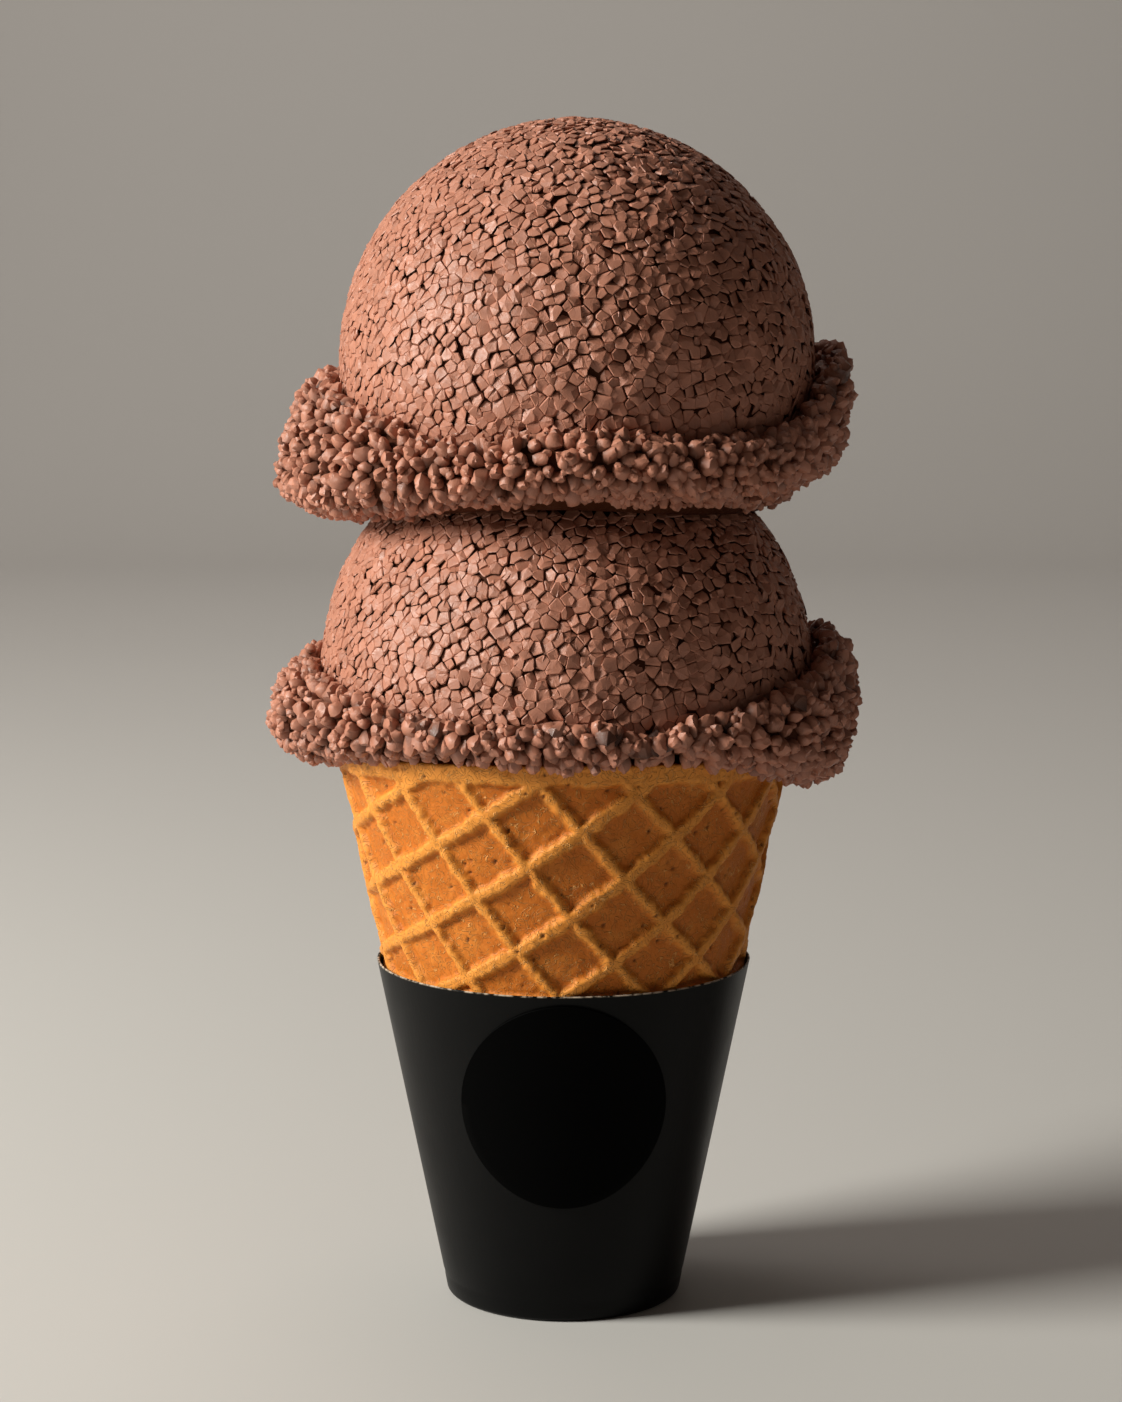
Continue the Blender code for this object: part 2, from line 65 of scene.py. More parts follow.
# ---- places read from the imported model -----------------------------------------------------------
SLEEVE_LOW, SLEEVE_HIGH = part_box("sleeve")
LABEL_LOW, LABEL_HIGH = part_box("sleeve_label")
UPPER_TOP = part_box("upper_scoop")[1].z
SLEEVE_HEIGHT = SLEEVE_HIGH.z
SLEEVE_RIM_RADIUS = 0.5 * (SLEEVE_HIGH.x - SLEEVE_LOW.x)

# ---- sizes that the pieces share with the solid model ----------------------------------------------
SLEEVE_BASE_RADIUS = 16.3 * MM
SLEEVE_TAPER = (SLEEVE_RIM_RADIUS - SLEEVE_BASE_RADIUS) / SLEEVE_HEIGHT
PIECE_GAP = 0.35 * MM
CONE_RIM_HEIGHT = 77.4 * MM
CONE_RIM_TILT = 1.0 * MM
CONE_RIM_BEND = 0.5 * MM
CONE_WAVE_START = 50.0 * MM
CONE_BAND_DEPTH = 2.3 * MM
LATTICE_TURNS = (math.radians(41.7), math.radians(33.3))
LATTICE_CROSSING_HEIGHT = 57.7 * MM
LATTICE_CROSSING_SHIFT = 1.0 * MM
LATTICE_FOOT_HEIGHT = 46.6 * MM
LOWER_FLAT_RADIUS = 24.5 * MM
LOWER_FLATTENING = 0.45
LOWER_CENTRE_SHIFT = 0.4 * MM
LOWER_CENTRE_HEIGHT = 87.6 * MM
UPPER_CENTRE_SHIFT = 1.8 * MM
GROOVE_CURVE = 1.4
LIP_FULLNESS = 0.72
LIP_LEAST_THICKNESS = 0.8 * MM
UPPER_SEAT_DISTANCES = (28.6 * MM, 26.4 * MM, LOWER_FLAT_RADIUS, 19.0 * MM, 12.0 * MM, 5.5 * MM)

# ---- sizes of the plates and beads, which only the looks have ---------------------------------------
PLATE_CORNERS = 10
PLATE_TRIALS = 40
PLATE_NEIGHBOURS = 14
PLATE_LARGEST = 1.6 * MM
PLATE_SUNKEN_DEPTH = 0.16 * MM
PLATE_SLANT = 0.13
PLATE_DOWNHILL = (0.6, 0.0, -0.8)
LOWER_PLATES_END = 111.2 * MM
BEAD_ROWS = 24
BEAD_ROW_RADIUS = 36.5 * MM
BEAD_HANG = 0.9 * MM
BEAD_BUD_SHARE = 0.5
BEAD_CUTS = 7
BEAD_COLUMNS = 9
BEAD_RING_ANGLES = (24.0, 50.0, 78.0, 116.0)

# ---- colours of the light ---------------------------------------------------------------------------
KEY_TINT = (0.93, 0.93, 0.87)
SOFT_TINT = (1.0, 0.95, 0.9)
SKY_TINT = (1.0, 0.84, 0.70, 1.0)

# The skirts, in millimetres, at twelve directions 30 degrees apart from the right-hand side: outermost
# radius, its height, radius of the lip's top edge, heights of the lip and depth of the crease.
UPPER_SKIRT = {
    "reach": (37.1, 37.0, 36.8, 37.0, 37.8, 39.3, 40.3, 38.8, 36.4, 35.3, 35.2, 35.6),
    "widest": (126.3, 124.0, 122.0, 120.5, 119.0, 116.5, 114.0, 114.5, 115.5, 117.0, 117.0, 118.5),
    "crest": (35.3, 34.9, 34.4, 34.1, 34.0, 33.9, 33.6, 33.0, 32.2, 32.4, 32.2, 33.2),
    "top": (131.3, 130.5, 129.0, 128.0, 127.8, 128.0, 127.7, 123.8, 120.3, 121.9, 120.5, 122.5),
    "bottom": (115.0, 114.5, 113.5, 112.5, 111.5, 110.0, 109.0, 109.8, 111.6, 113.4, 113.0, 113.4),
    "groove": (6.0, 5.0, 4.0, 3.5, 3.0, 3.0, 3.0, 2.0, 1.2, 1.2, 1.2, 2.5),
}
LOWER_SKIRT = {
    "reach": (39.5, 38.9, 38.2, 37.8, 37.9, 39.2, 40.4, 38.3, 36.4, 35.6, 36.6, 38.6),
    "widest": (84.0, 83.5, 82.8, 82.5, 82.3, 82.0, 81.0, 81.6, 82.0, 82.2, 82.0, 82.4),
    "crest": (35.4, 35.6, 35.3, 35.0, 35.0, 35.1, 34.9, 34.8, 34.4, 34.2, 34.6, 36.0),
    "top": (92.9, 91.5, 89.5, 88.0, 88.5, 89.5, 89.6, 87.6, 84.9, 84.8, 84.9, 87.8),
    "bottom": (72.6, 74.5, 76.0, 77.0, 76.5, 75.5, 75.3, 77.8, 80.0, 79.5, 79.8, 75.2),
    "groove": (4.0, 3.5, 2.5, 2.0, 2.0, 2.5, 3.0, 2.0, 1.0, 1.0, 1.2, 2.0),
}


def length(name, description, millimetres):
    """A length property whose default is given in millimetres."""
    return FloatProperty(name=name, description=description, default=millimetres * MM, min=0.0,
                         precision=5, subtype="DISTANCE", unit="LENGTH")


def colour(name, description, value):
    """A colour property; its value is a linear red, green and blue."""
    return FloatVectorProperty(name=name, description=description, default=value, size=3, min=0.0,
                               max=1.0, subtype="COLOR")


def share(name, description, value, high=1.0):
    """A plain number without a unit."""
    return FloatProperty(name=name, description=description, default=value, min=0.0, max=high)


class SleeveSettings(bpy.types.PropertyGroup):
    """Sizes and colours of the paper sleeve and of the round label on it."""

    wall: length("Wall", "Thickness of the paper", 0.45)
    floor: length("Floor", "Thickness of the closed bottom", 0.8)
    foot_rounding: length("Foot rounding", "Radius of the rolled edge at the foot", 0.7)
    seam_step: length("Seam step", "Step where the paper overlaps itself at the back", 0.25)
    paper: colour("Paper", "Satin black paper", (0.0022, 0.0022, 0.0022))
    edge: colour("Cut edge", "Cream core of the paper where it is cut", (0.58, 0.47, 0.36))
    label_thickness: length("Label thickness", "Thickness of the round label", 0.2)
    label_gap: length("Label gap", "Gap between label and sleeve", 0.1)
    label: colour("Label", "Plain matte black label", (0.0008, 0.0008, 0.0008))


class WaffleSettings(bpy.types.PropertyGroup):
    """Sizes and colours of the waffle cone."""

    pitch: length("Lattice pitch", "Distance between neighbouring ridges", 8.52)
    ridge_height: length("Ridge height", "Height of the ridges over the wells", 0.9)
    ridge_top: length("Ridge top", "Width of a ridge across its top", 1.1)
    ridge_foot: length("Ridge foot", "Width of a ridge at its foot", 2.6)
    roughness_depth: length("Unevenness", "Depth of the baked unevenness", 0.09)
    ridge_colour: colour("Ridges", "Golden ridges", (0.74, 0.275, 0.042))
    well_colour: colour("Wells", "Browner wells", (0.52, 0.140, 0.012))
    thread_colour: colour("Threads", "Pale curly crumb threads", (0.85, 0.43, 0.13))
    # Painted shade: the near black put in the sunken pores.
    pore_shade_colour: colour("Pores", "Dark baked pores", (0.085, 0.018, 0.003))


class ScoopSettings(bpy.types.PropertyGroup):
    """Sizes and colours of the two scoops."""

    lower_radius: length("Lower ball", "Radius of the lower ball", 33.7)
    upper_radius: length("Upper ball", "Radius of the upper ball", 32.2)
    plate_spacing: length("Plate spacing", "Mean distance between the small plates of a ball", 1.38)
    plate_crevice: length("Crevice", "Width of the crevices between plates", 0.13)
    plate_depth: length("Crevice depth", "How far the core lies below the plates", 0.55)
    bead_spacing: length("Bead spacing", "Mean distance between the beads of a skirt", 2.25)
    bead_radius: length("Bead radius", "Mean radius of a bead", 1.12)
    light: colour("Plates", "Chocolate of the raised faces", (0.450, 0.182, 0.113))
    # Painted shade: the colour put deep in the crevices, at the beads' feet and on the whole core.
    crevice_shade: colour("Crevices", "Chocolate deep in the crevices", (0.050, 0.015, 0.007))
    seed: IntProperty(name="Seed", description="Seed of the random plates and beads", default=7)


class StageSettings(bpy.types.PropertyGroup):
    """The floor, the light and the camera."""

    floor: colour("Floor", "Plain pale floor and backdrop", (0.56, 0.535, 0.51))
    key_power: share("Key light", "Power of the large soft light on the left, in watts", 13.6, 500.0)
    fill_power: share("Fill light", "Power of the weak light on the right, in watts", 0.15, 500.0)
    backdrop_power: share("Backdrop light", "Power of the light on the backdrop, in watts", 8.0, 500.0)
    sky: share("Sky", "Strength of the even light from all sides", 0.048, 10.0)
    camera_distance: length("Camera distance", "From the cone's axis to the camera", 436.0)
    camera_height: length("Camera height", "Height of the camera over the floor", 142.0)
    camera_pitch: FloatProperty(name="Camera pitch", description="How far the camera looks down",
                                default=math.radians(7.7), subtype="ANGLE", unit="ROTATION")
    camera_lens: share("Lens", "Focal length in millimetres on a 36 millimetre sensor", 82.2, 500.0)


class ConeSettings(bpy.types.PropertyGroup):
    """All settings of the ice cream cone."""

    sleeve: PointerProperty(type=SleeveSettings, name="Sleeve", description="Sleeve and label")
    waffle: PointerProperty(type=WaffleSettings, name="Waffle", description="Waffle cone")
    scoops: PointerProperty(type=ScoopSettings, name="Scoops", description="Both scoops")
    stage: PointerProperty(type=StageSettings, name="Stage", description="Floor, light and camera")


# ---- numbers on whole arrays ----------------------------------------------------------------------

def ease(values, low, high):
    """Smooth step: 0 below low, 1 above high, and 3t^2 - 2t^3 of the share t between them."""
    t = np.clip((values - low) / (high - low), 0.0, 1.0)
    return t * t * (3.0 - 2.0 * t)


def scatter(keys, seed):
    """Numbers from 0 to 1 that look random but depend only on whole-number keys and the seed."""
    mixed = seed * 26544357
    for axis, prime in enumerate((73856093, 19349663, 83492791)):
        mixed = mixed ^ (keys[..., axis] * prime)
    mixed = (mixed ^ (mixed >> 13)) * 1274126177
    mixed = (mixed ^ (mixed >> 15)) * 668265263
    return ((mixed ^ (mixed >> 16)) & 0xFFFF) / 65535.0


def lumps(points, size, seed):
    """Smooth noise from -1 to 1: random values at the corners of cubes of a size, eased between them."""
    spot = points / size
    base = np.floor(spot).astype(np.int64)
    part = ease(spot - base, 0.0, 1.0)
    total = np.zeros(points.shape[:-1])
    for corner in np.ndindex(2, 2, 2):
        weight = np.prod(np.where(corner, part, 1.0 - part), axis=-1)
        total += weight * (2.0 * scatter(base + np.array(corner), seed) - 1.0)
    return total


def nearest_speck(points, size, seed):
    """Distance to the nearest of random points, one in each cube of a size."""
    base = np.floor(points / size).astype(np.int64)
    best = np.full(points.shape[:-1], np.inf)
    for corner in np.ndindex(3, 3, 3):
        cube = base + np.array(corner) - 1
        place = np.stack([scatter(cube, seed + axis) for axis in range(3)], axis=-1)
        best = np.minimum(best, np.linalg.norm(points - (cube + place) * size, axis=-1))
    return best


def unit(vectors):
    """Vectors scaled to a length of one."""
    return vectors / np.linalg.norm(vectors, axis=-1, keepdims=True)


def frames(normals, up):
    """Two unit vectors across each normal: one square to the normal and to up, one completing the frame."""
    side = unit(np.cross(up, normals))
    return side, np.cross(normals, side)


def on_axis(directions, across, heights):
    """Points at a direction, a distance from the upright axis and a height."""
    return np.stack([across * np.cos(directions), across * np.sin(directions), heights], axis=-1)


def around(values, directions):
    """A size in every direction: a closed curve of cubics through the twelve values of a skirt.

    Each cubic's slope at a value is half the difference between the values on both sides of it.
    """
    sizes = np.asarray(values) * MM
    place = (directions / FULL_TURN) % 1.0 * len(sizes)
    index = np.floor(place).astype(int)
    t = place - index
    before, here, after, beyond = (sizes[(index + step) % len(sizes)] for step in (-1, 0, 1, 2))
    slope_here = 0.5 * (after - before)
    slope_after = 0.5 * (beyond - here)
    bend = 2.0 * (here - after) + slope_here + slope_after
    sway = 3.0 * (after - here) - 2.0 * slope_here - slope_after
    return ((bend * t + sway) * t + slope_here) * t + here


# ---- meshes and materials -------------------------------------------------------------------------

def closed_grid(rows, columns, downwards):
    """Quads and triangles of a closed body: a start point, rows of columns that close round, an end point."""
    row, column = np.meshgrid(np.arange(rows - 1), np.arange(columns), indexing="ij")
    here = (1 + row * columns + column).ravel()
    beside = (1 + row * columns + (column + 1) % columns).ravel()
    quads = np.stack([here, beside, beside + columns, here + columns], axis=-1)
    column = np.arange(columns)
    following = (column + 1) % columns
    last = rows * columns + 1
    start = np.stack([np.zeros_like(column), 1 + following, 1 + column], axis=-1)
    end = np.stack([np.full_like(column, last), last - columns + column, last - columns + following], axis=-1)
    triangles = np.concatenate([start, end])
    if downwards:
        quads = quads[:, ::-1]
        triangles = triangles[:, ::-1]
    return quads, triangles


def repeated(faces, count, stride):
    """The faces of one small shape for each of its copies, whose points follow each other at a stride."""
    shift = (np.arange(count) * stride)[:, None, None]
    return (faces[None] + shift).reshape(-1, faces.shape[1])


def add_piece(name, points, quads, triangles, material, node, slot, **attributes):
    """Make one mesh object that replaces a node, from arrays of points, faces and values at the points."""
    mesh = bpy.data.meshes.new(name)
    mesh.vertices.add(len(points))
    mesh.vertices.foreach_set("co", np.asarray(points, np.float32).ravel())
    corners = np.concatenate([quads.ravel(), triangles.ravel()]).astype(np.int32)
    starts = np.concatenate([np.arange(len(quads)) * 4, len(quads) * 4 + np.arange(len(triangles)) * 3])
    mesh.loops.add(len(corners))
    mesh.loops.foreach_set("vertex_index", corners)
    mesh.polygons.add(len(starts))
    mesh.polygons.foreach_set("loop_start", starts.astype(np.int32))
    mesh.update(calc_edges=True)
    mesh.polygons.foreach_set("use_smooth", np.ones(len(starts), bool))
    for key, values in attributes.items():
        layer = mesh.attributes.new(key, "FLOAT", "POINT")
        layer.data.foreach_set("value", np.asarray(values, np.float32).ravel())
    if mesh.validate():
        raise RuntimeError(f"{name} has faces that Blender had to mend")
    mesh.materials.append(material)
    piece = bpy.data.objects.new(name, mesh)
    bpy.context.scene.collection.objects.link(piece)
    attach(piece, "root")
    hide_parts(node)
    return piece


class Painter:
    """A material's node tree with short calls for the nodes that these finishes use."""

    def __init__(self, name, roughness, gloss=0.5):
        """Start a material whose Principled BSDF has a roughness and a specular level."""
        self.material = bpy.data.materials.new(name)
        self.material.use_nodes = True
        self.nodes = self.material.node_tree.nodes
        self.links = self.material.node_tree.links
        self.shader = self.nodes["Principled BSDF"]
        self.shader.inputs["Roughness"].default_value = roughness
        self.shader.inputs["Specular IOR Level"].default_value = gloss
        self.place = self.nodes.new("ShaderNodeTexCoord").outputs["Object"]

    def put(self, value, socket):
        """Link an output to an input, or set the input to a plain value."""
        if isinstance(value, bpy.types.NodeSocket):
            self.links.new(value, socket)
        else:
            socket.default_value = value

    def attribute(self, name):
        """A value stored at the mesh's points."""
        node = self.nodes.new("ShaderNodeAttribute")
        node.attribute_name = name
        return node.outputs["Fac"]

    def noise(self, size, detail=2.0, stretch=(1.0, 1.0, 1.0), distortion=0.0):
        """Noise from 0 to 1 whose lumps have a size in metres, stretched along the axes."""
        mapping = self.nodes.new("ShaderNodeMapping")
        mapping.inputs["Scale"].default_value = stretch
        self.links.new(self.place, mapping.inputs["Vector"])
        node = self.nodes.new("ShaderNodeTexNoise")
        node.inputs["Scale"].default_value = 1.0 / size
        node.inputs["Detail"].default_value = detail
        node.inputs["Distortion"].default_value = distortion
        self.links.new(mapping.outputs["Vector"], node.inputs["Vector"])
        return node.outputs["Fac"]

    def map(self, value, low, high, start=0.0, end=1.0):
        """A value carried from low..high to start..end and held there."""
        node = self.nodes.new("ShaderNodeMapRange")
        node.inputs["From Min"].default_value = low
        node.inputs["From Max"].default_value = high
        node.inputs["To Min"].default_value = start
        node.inputs["To Max"].default_value = end
        self.links.new(value, node.inputs["Value"])
        return node.outputs["Result"]

    def math(self, kind, first, second):
        """One sum on two values."""
        node = self.nodes.new("ShaderNodeMath")
        node.operation = kind
        self.put(first, node.inputs[0])
        self.put(second, node.inputs[1])
        return node.outputs["Value"]

    def mix(self, factor, first, second, kind="MIX"):
        """Two colours mixed by a factor."""
        node = self.nodes.new("ShaderNodeMix")
        node.data_type = "RGBA"
        node.blend_type = kind
        self.put(factor, node.inputs["Factor"])
        for index, value in ((6, first), (7, second)):
            if not isinstance(value, bpy.types.NodeSocket):
                value = (*value, 1.0)
            self.put(value, node.inputs[index])
        return node.outputs[2]

    def bump(self, height, depth, below=None):
        """A bump whose full height is a depth in metres, over another bump."""
        node = self.nodes.new("ShaderNodeBump")
        node.inputs["Strength"].default_value = 1.0
        node.inputs["Distance"].default_value = depth
        self.links.new(height, node.inputs["Height"])
        if below is not None:
            self.links.new(below, node.inputs["Normal"])
        return node.outputs["Normal"]

    def finish(self, base, roughness=None, normal=None):
        """Link colour, roughness and normal to the shader and hand back the material."""
        self.put(base, self.shader.inputs["Base Color"])
        if roughness is not None:
            self.put(roughness, self.shader.inputs["Roughness"])
        if normal is not None:
            self.put(normal, self.shader.inputs["Normal"])
        return self.material


def paper_material(settings):
    """Satin black paper: faint fibres, finger-soft sheen and a cream cut edge where "edge" is high."""
    paint = Painter("sleeve_paper", 0.42, 0.1)
    fibres = paint.noise(0.45 * MM, 4.0, (1.0, 1.0, 0.35))
    clouds = paint.noise(9.0 * MM, 3.0)
    body = paint.mix(paint.map(clouds, 0.3, 0.7), [0.82 * part for part in settings.paper],
                     [1.2 * part for part in settings.paper])
    worn = paint.math("MULTIPLY", paint.attribute("edge"), paint.map(paint.noise(1.1 * MM, 3.0), 0.42, 0.56))
    base = paint.mix(worn, body, tuple(settings.edge))
    roughness = paint.map(clouds, 0.25, 0.75, 0.36, 0.46)
    return paint.finish(base, roughness, paint.bump(fibres, 0.012 * MM))


def label_material(settings):
    """Plain matte black label with a faint paper grain."""
    paint = Painter("label_paper", 0.6, 0.02)
    grain = paint.noise(0.3 * MM, 3.0)
    base = paint.mix(grain, [0.8 * part for part in settings.label], [1.3 * part for part in settings.label])
    return paint.finish(base, paint.map(grain, 0.3, 0.7, 0.55, 0.65), paint.bump(grain, 0.008 * MM))


def waffle_material(settings):
    """Baked waffle: golden on the ridges, browner in the wells, with sunken pores painted near black as
    painted shade, and curly crumb threads.
    """
    paint = Painter("baked_waffle", 0.55, 0.22)
    mottle = paint.noise(2.6 * MM, 4.0)
    threads = paint.noise(1.5 * MM, 0.5, distortion=2.2)
    thread = paint.map(paint.math("ABSOLUTE", paint.math("SUBTRACT", threads, 0.5), 0.0), 0.0, 0.03, 1.0, 0.0)
    crumb = paint.noise(0.28 * MM, 3.0)
    baked = paint.math("ADD", paint.attribute("ridge"), paint.map(mottle, 0.3, 0.7, -0.35, 0.35))
    base = paint.mix(paint.map(baked, 0.0, 1.0), tuple(settings.well_colour), tuple(settings.ridge_colour))
    base = paint.mix(paint.math("MULTIPLY", thread, 0.75), base, tuple(settings.thread_colour))
    # The pores are painted near black as painted shade in the pits.
    base = paint.mix(paint.attribute("pore"), base, tuple(settings.pore_shade_colour))
    normal = paint.bump(crumb, 0.07 * MM)
    normal = paint.bump(thread, 0.14 * MM, normal)
    return paint.finish(base, paint.map(crumb, 0.3, 0.7, 0.45, 0.68), normal)


def ice_cream_material(settings, name, gloss):
    """Chocolate ice cream: its own colour mixed down to a painted crevice shade by an attribute that carries
    painted shade, painted highlights and random tone, with fine crystals and a moist gloss.
    """
    paint = Painter(name, 0.5, gloss)
    grain = paint.noise(0.16 * MM, 3.0)
    clouds = paint.noise(3.4 * MM, 3.0)
    # The attribute is painted shade low in the crevices and a painted highlight on plate rims, plus random
    # tone; clouds and grain add more random tone.
    raised = paint.math("ADD", paint.attribute("tone"), paint.map(clouds, 0.3, 0.7, -0.06, 0.06))
    raised = paint.math("ADD", raised, paint.map(grain, 0.3, 0.7, -0.05, 0.05))
    base = paint.mix(paint.map(raised, 0.0, 1.0), tuple(settings.crevice_shade), tuple(settings.light))
    roughness = paint.map(paint.noise(0.5 * MM, 2.0), 0.35, 0.65, 0.36, 0.6)
    return paint.finish(base, roughness, paint.bump(grain, 0.06 * MM))


# ---- sleeve and label -----------------------------------------------------------------------------

def sleeve_radius(height):
    """Outer radius of the sleeve's straight taper, which the cone above it carries on."""
    return SLEEVE_BASE_RADIUS + SLEEVE_TAPER * height


def make_sleeve(settings):
    """The sleeve: a profile of radii and heights carried round the axis as a closed body.

    The profile runs from the middle of the floor's underside out over the rolled foot, up the straight
    taper, over the cut rim and down the inside. Where the paper overlaps itself at the back, the
    radius grows by a small step that dies away round a quarter turn.
    """
    columns = 288
    turns = np.linspace(0.0, 0.5 * math.pi, 6)
    foot = settings.foot_rounding
    foot_heights = foot * (1.0 - np.cos(turns))
    foot_radii = sleeve_radius(foot_heights) - foot * (1.0 - np.sin(turns))
    bevel = 0.25 * settings.wall
    band = np.array([2.2, 2.6, 3.0, 3.4, 8.0, 20.0, 34.0, 1000.0 * (SLEEVE_HEIGHT - 2.0 * bevel)]) * MM
    crease = np.array([0.0, 0.05, 0.05, 0.0, 0.0, 0.0, 0.0, 0.0]) * MM
    inner = sleeve_radius(settings.floor) - settings.wall
    radii = np.concatenate([foot_radii, sleeve_radius(band) - crease,
                            [SLEEVE_RIM_RADIUS - SLEEVE_TAPER * bevel, SLEEVE_RIM_RADIUS - bevel,
                             SLEEVE_RIM_RADIUS - settings.wall + bevel, SLEEVE_RIM_RADIUS - settings.wall,
                             inner]])
    heights = np.concatenate([foot_heights, band,
                              [SLEEVE_HEIGHT - bevel, SLEEVE_HEIGHT, SLEEVE_HEIGHT, SLEEVE_HEIGHT - bevel,
                               settings.floor]])
    edge = np.concatenate([np.zeros(len(foot_radii) + len(band)), [0.5, 1.0, 0.9, 0.0, 0.0]])
    directions = np.arange(columns) / columns * FULL_TURN
    overlap = (directions - 0.55 * math.pi) % FULL_TURN
    step = settings.seam_step * np.exp(-overlap / 0.9) * (overlap < math.pi)
    outside = np.concatenate([np.ones(len(foot_radii) + len(band) + 2), np.zeros(3)])
    shown = radii[:, None] - outside[:, None] * (settings.seam_step * 0.5 - step[None])
    wave = 0.04 * MM * np.sin(5.0 * directions) + 0.03 * MM * np.sin(11.0 * directions + 1.0)
    shown[len(foot_radii):-1] += wave
    body = on_axis(directions[None], shown, heights[:, None] + np.zeros(columns)[None])
    points = np.concatenate([[[0.0, 0.0, 0.0]], body.reshape(-1, 3), [[0.0, 0.0, settings.floor]]])
    quads, triangles = closed_grid(len(radii), columns, False)
    values = np.concatenate([[0.0], np.repeat(edge, columns), [0.0]])
    piece = add_piece("paper_sleeve", points, quads, triangles, paper_material(settings), "sleeve",
                      "sleeve_paper", edge=values)
    piece.data.set_sharp_from_angle(angle=math.radians(40.0))


def make_label(settings):
    """The label: a disc of rings, an ellipse seen from the front, laid on the sleeve's taper.

    A point's place from the front gives its turn as the arc sine of its sideways distance over the
    sleeve's radius at its height. The outermost rings round the edge and close the back.
    """
    columns = 96
    wide = 0.5 * (LABEL_HIGH.x - LABEL_LOW.x)
    high = 0.5 * (LABEL_HIGH.z - LABEL_LOW.z)
    middle = 0.5 * (LABEL_HIGH.z + LABEL_LOW.z)
    gap = settings.label_gap
    top = gap + settings.label_thickness
    bevel = 0.06 * MM / wide
    shares = np.array([0.2, 0.4, 0.6, 0.8, 0.92, 1.0 - bevel, 1.0, 1.0, 0.8, 0.4])
    offsets = np.array([top, top, top, top, top, top, top - 0.06 * MM, gap, gap, gap])
    angles = np.arange(columns) / columns * FULL_TURN

    def wrapped(outward, offset):
        height = middle + high * outward * np.sin(angles)
        turn = np.arcsin(wide * outward * np.cos(angles) / sleeve_radius(height))
        return on_axis(FRONT + turn, sleeve_radius(height) + offset, height)

    rings = [wrapped(outward, offset) for outward, offset in zip(shares, offsets)]
    ends = [wrapped(0.0, top)[:1], wrapped(0.0, gap)[:1]]
    points = np.concatenate([ends[0], *rings, ends[1]])
    quads, triangles = closed_grid(len(rings), columns, True)
    piece = add_piece("round_label", points, quads, triangles, label_material(settings), "sleeve_label",
                      "label_paper")
    piece.data.set_sharp_from_angle(angle=math.radians(40.0))


# ---- waffle cone ----------------------------------------------------------------------------------

def cone_radius(height, wall):
    """Radius of the cone over the tops of its ridges."""
    return sleeve_radius(height) - wall - PIECE_GAP


def rim_wave(directions):
    """How far the cone's rim stands above its even height in each direction."""
    return -CONE_RIM_TILT * np.sin(directions) - CONE_RIM_BEND * np.cos(2.0 * directions)


def ridge(distances, settings, width=1.0):
    """Height of a ridge at distances from its middle: a rounded top between eased flanks."""
    return settings.ridge_height * (1.0 - ease(distances, 0.35 * width * settings.ridge_top,
                                               0.5 * settings.ridge_foot))


def waffle_relief(turns, heights, settings, wall):
    """Height of the waffle pattern over its wells: both families of ridges, the rim and foot bands, the seam.

    A point is laid out flat by its distance along the slant and its turn times the sine of the slant.
    The flat sheet is then read in lattice pitches along and across the ridges.
    """
    slant = math.atan(SLEEVE_TAPER)
    apex = -(SLEEVE_BASE_RADIUS - wall - PIECE_GAP) / SLEEVE_TAPER

    def to_sheet(turn, height):
        reach = (height - apex) / math.cos(slant)
        return reach * np.sin(turn * math.sin(slant)), reach * np.cos(turn * math.sin(slant))

    shift = LATTICE_CROSSING_SHIFT / cone_radius(LATTICE_CROSSING_HEIGHT, wall)
    start = to_sheet(shift, LATTICE_CROSSING_HEIGHT)
    across, along = to_sheet(turns, heights)
    across, along = (across - start[0]) / settings.pitch, (along - start[1]) / settings.pitch
    one, other = LATTICE_TURNS
    first = across * math.cos(one) + along * math.sin(one)
    second = along * math.cos(other) - across * math.sin(other)
    spots = on_axis(turns, cone_radius(heights, wall), heights)
    wander = 0.24 * MM * lumps(spots, 1.7 * MM, 11) + 0.22 * MM * lumps(spots, 0.75 * MM, 12)
    seam = (math.pi - np.abs(turns)) * cone_radius(heights, wall) - 1.3 * MM
    middle = 0.35 * settings.ridge_top
    lines = [np.abs(first - np.round(first)) * settings.pitch + wander,
             np.abs(second - np.round(second)) * settings.pitch - wander,
             np.maximum(CONE_RIM_HEIGHT - CONE_BAND_DEPTH - heights, 0.0) + middle + wander,
             np.maximum(heights - LATTICE_FOOT_HEIGHT, 0.0) + middle,
             np.maximum(seam, 0.0) + middle + wander]
    widths = (0.45, 1.25, 1.0, 1.0, 1.0)
    return np.max([ridge(line, settings, width) for line, width in zip(lines, widths)], axis=0)


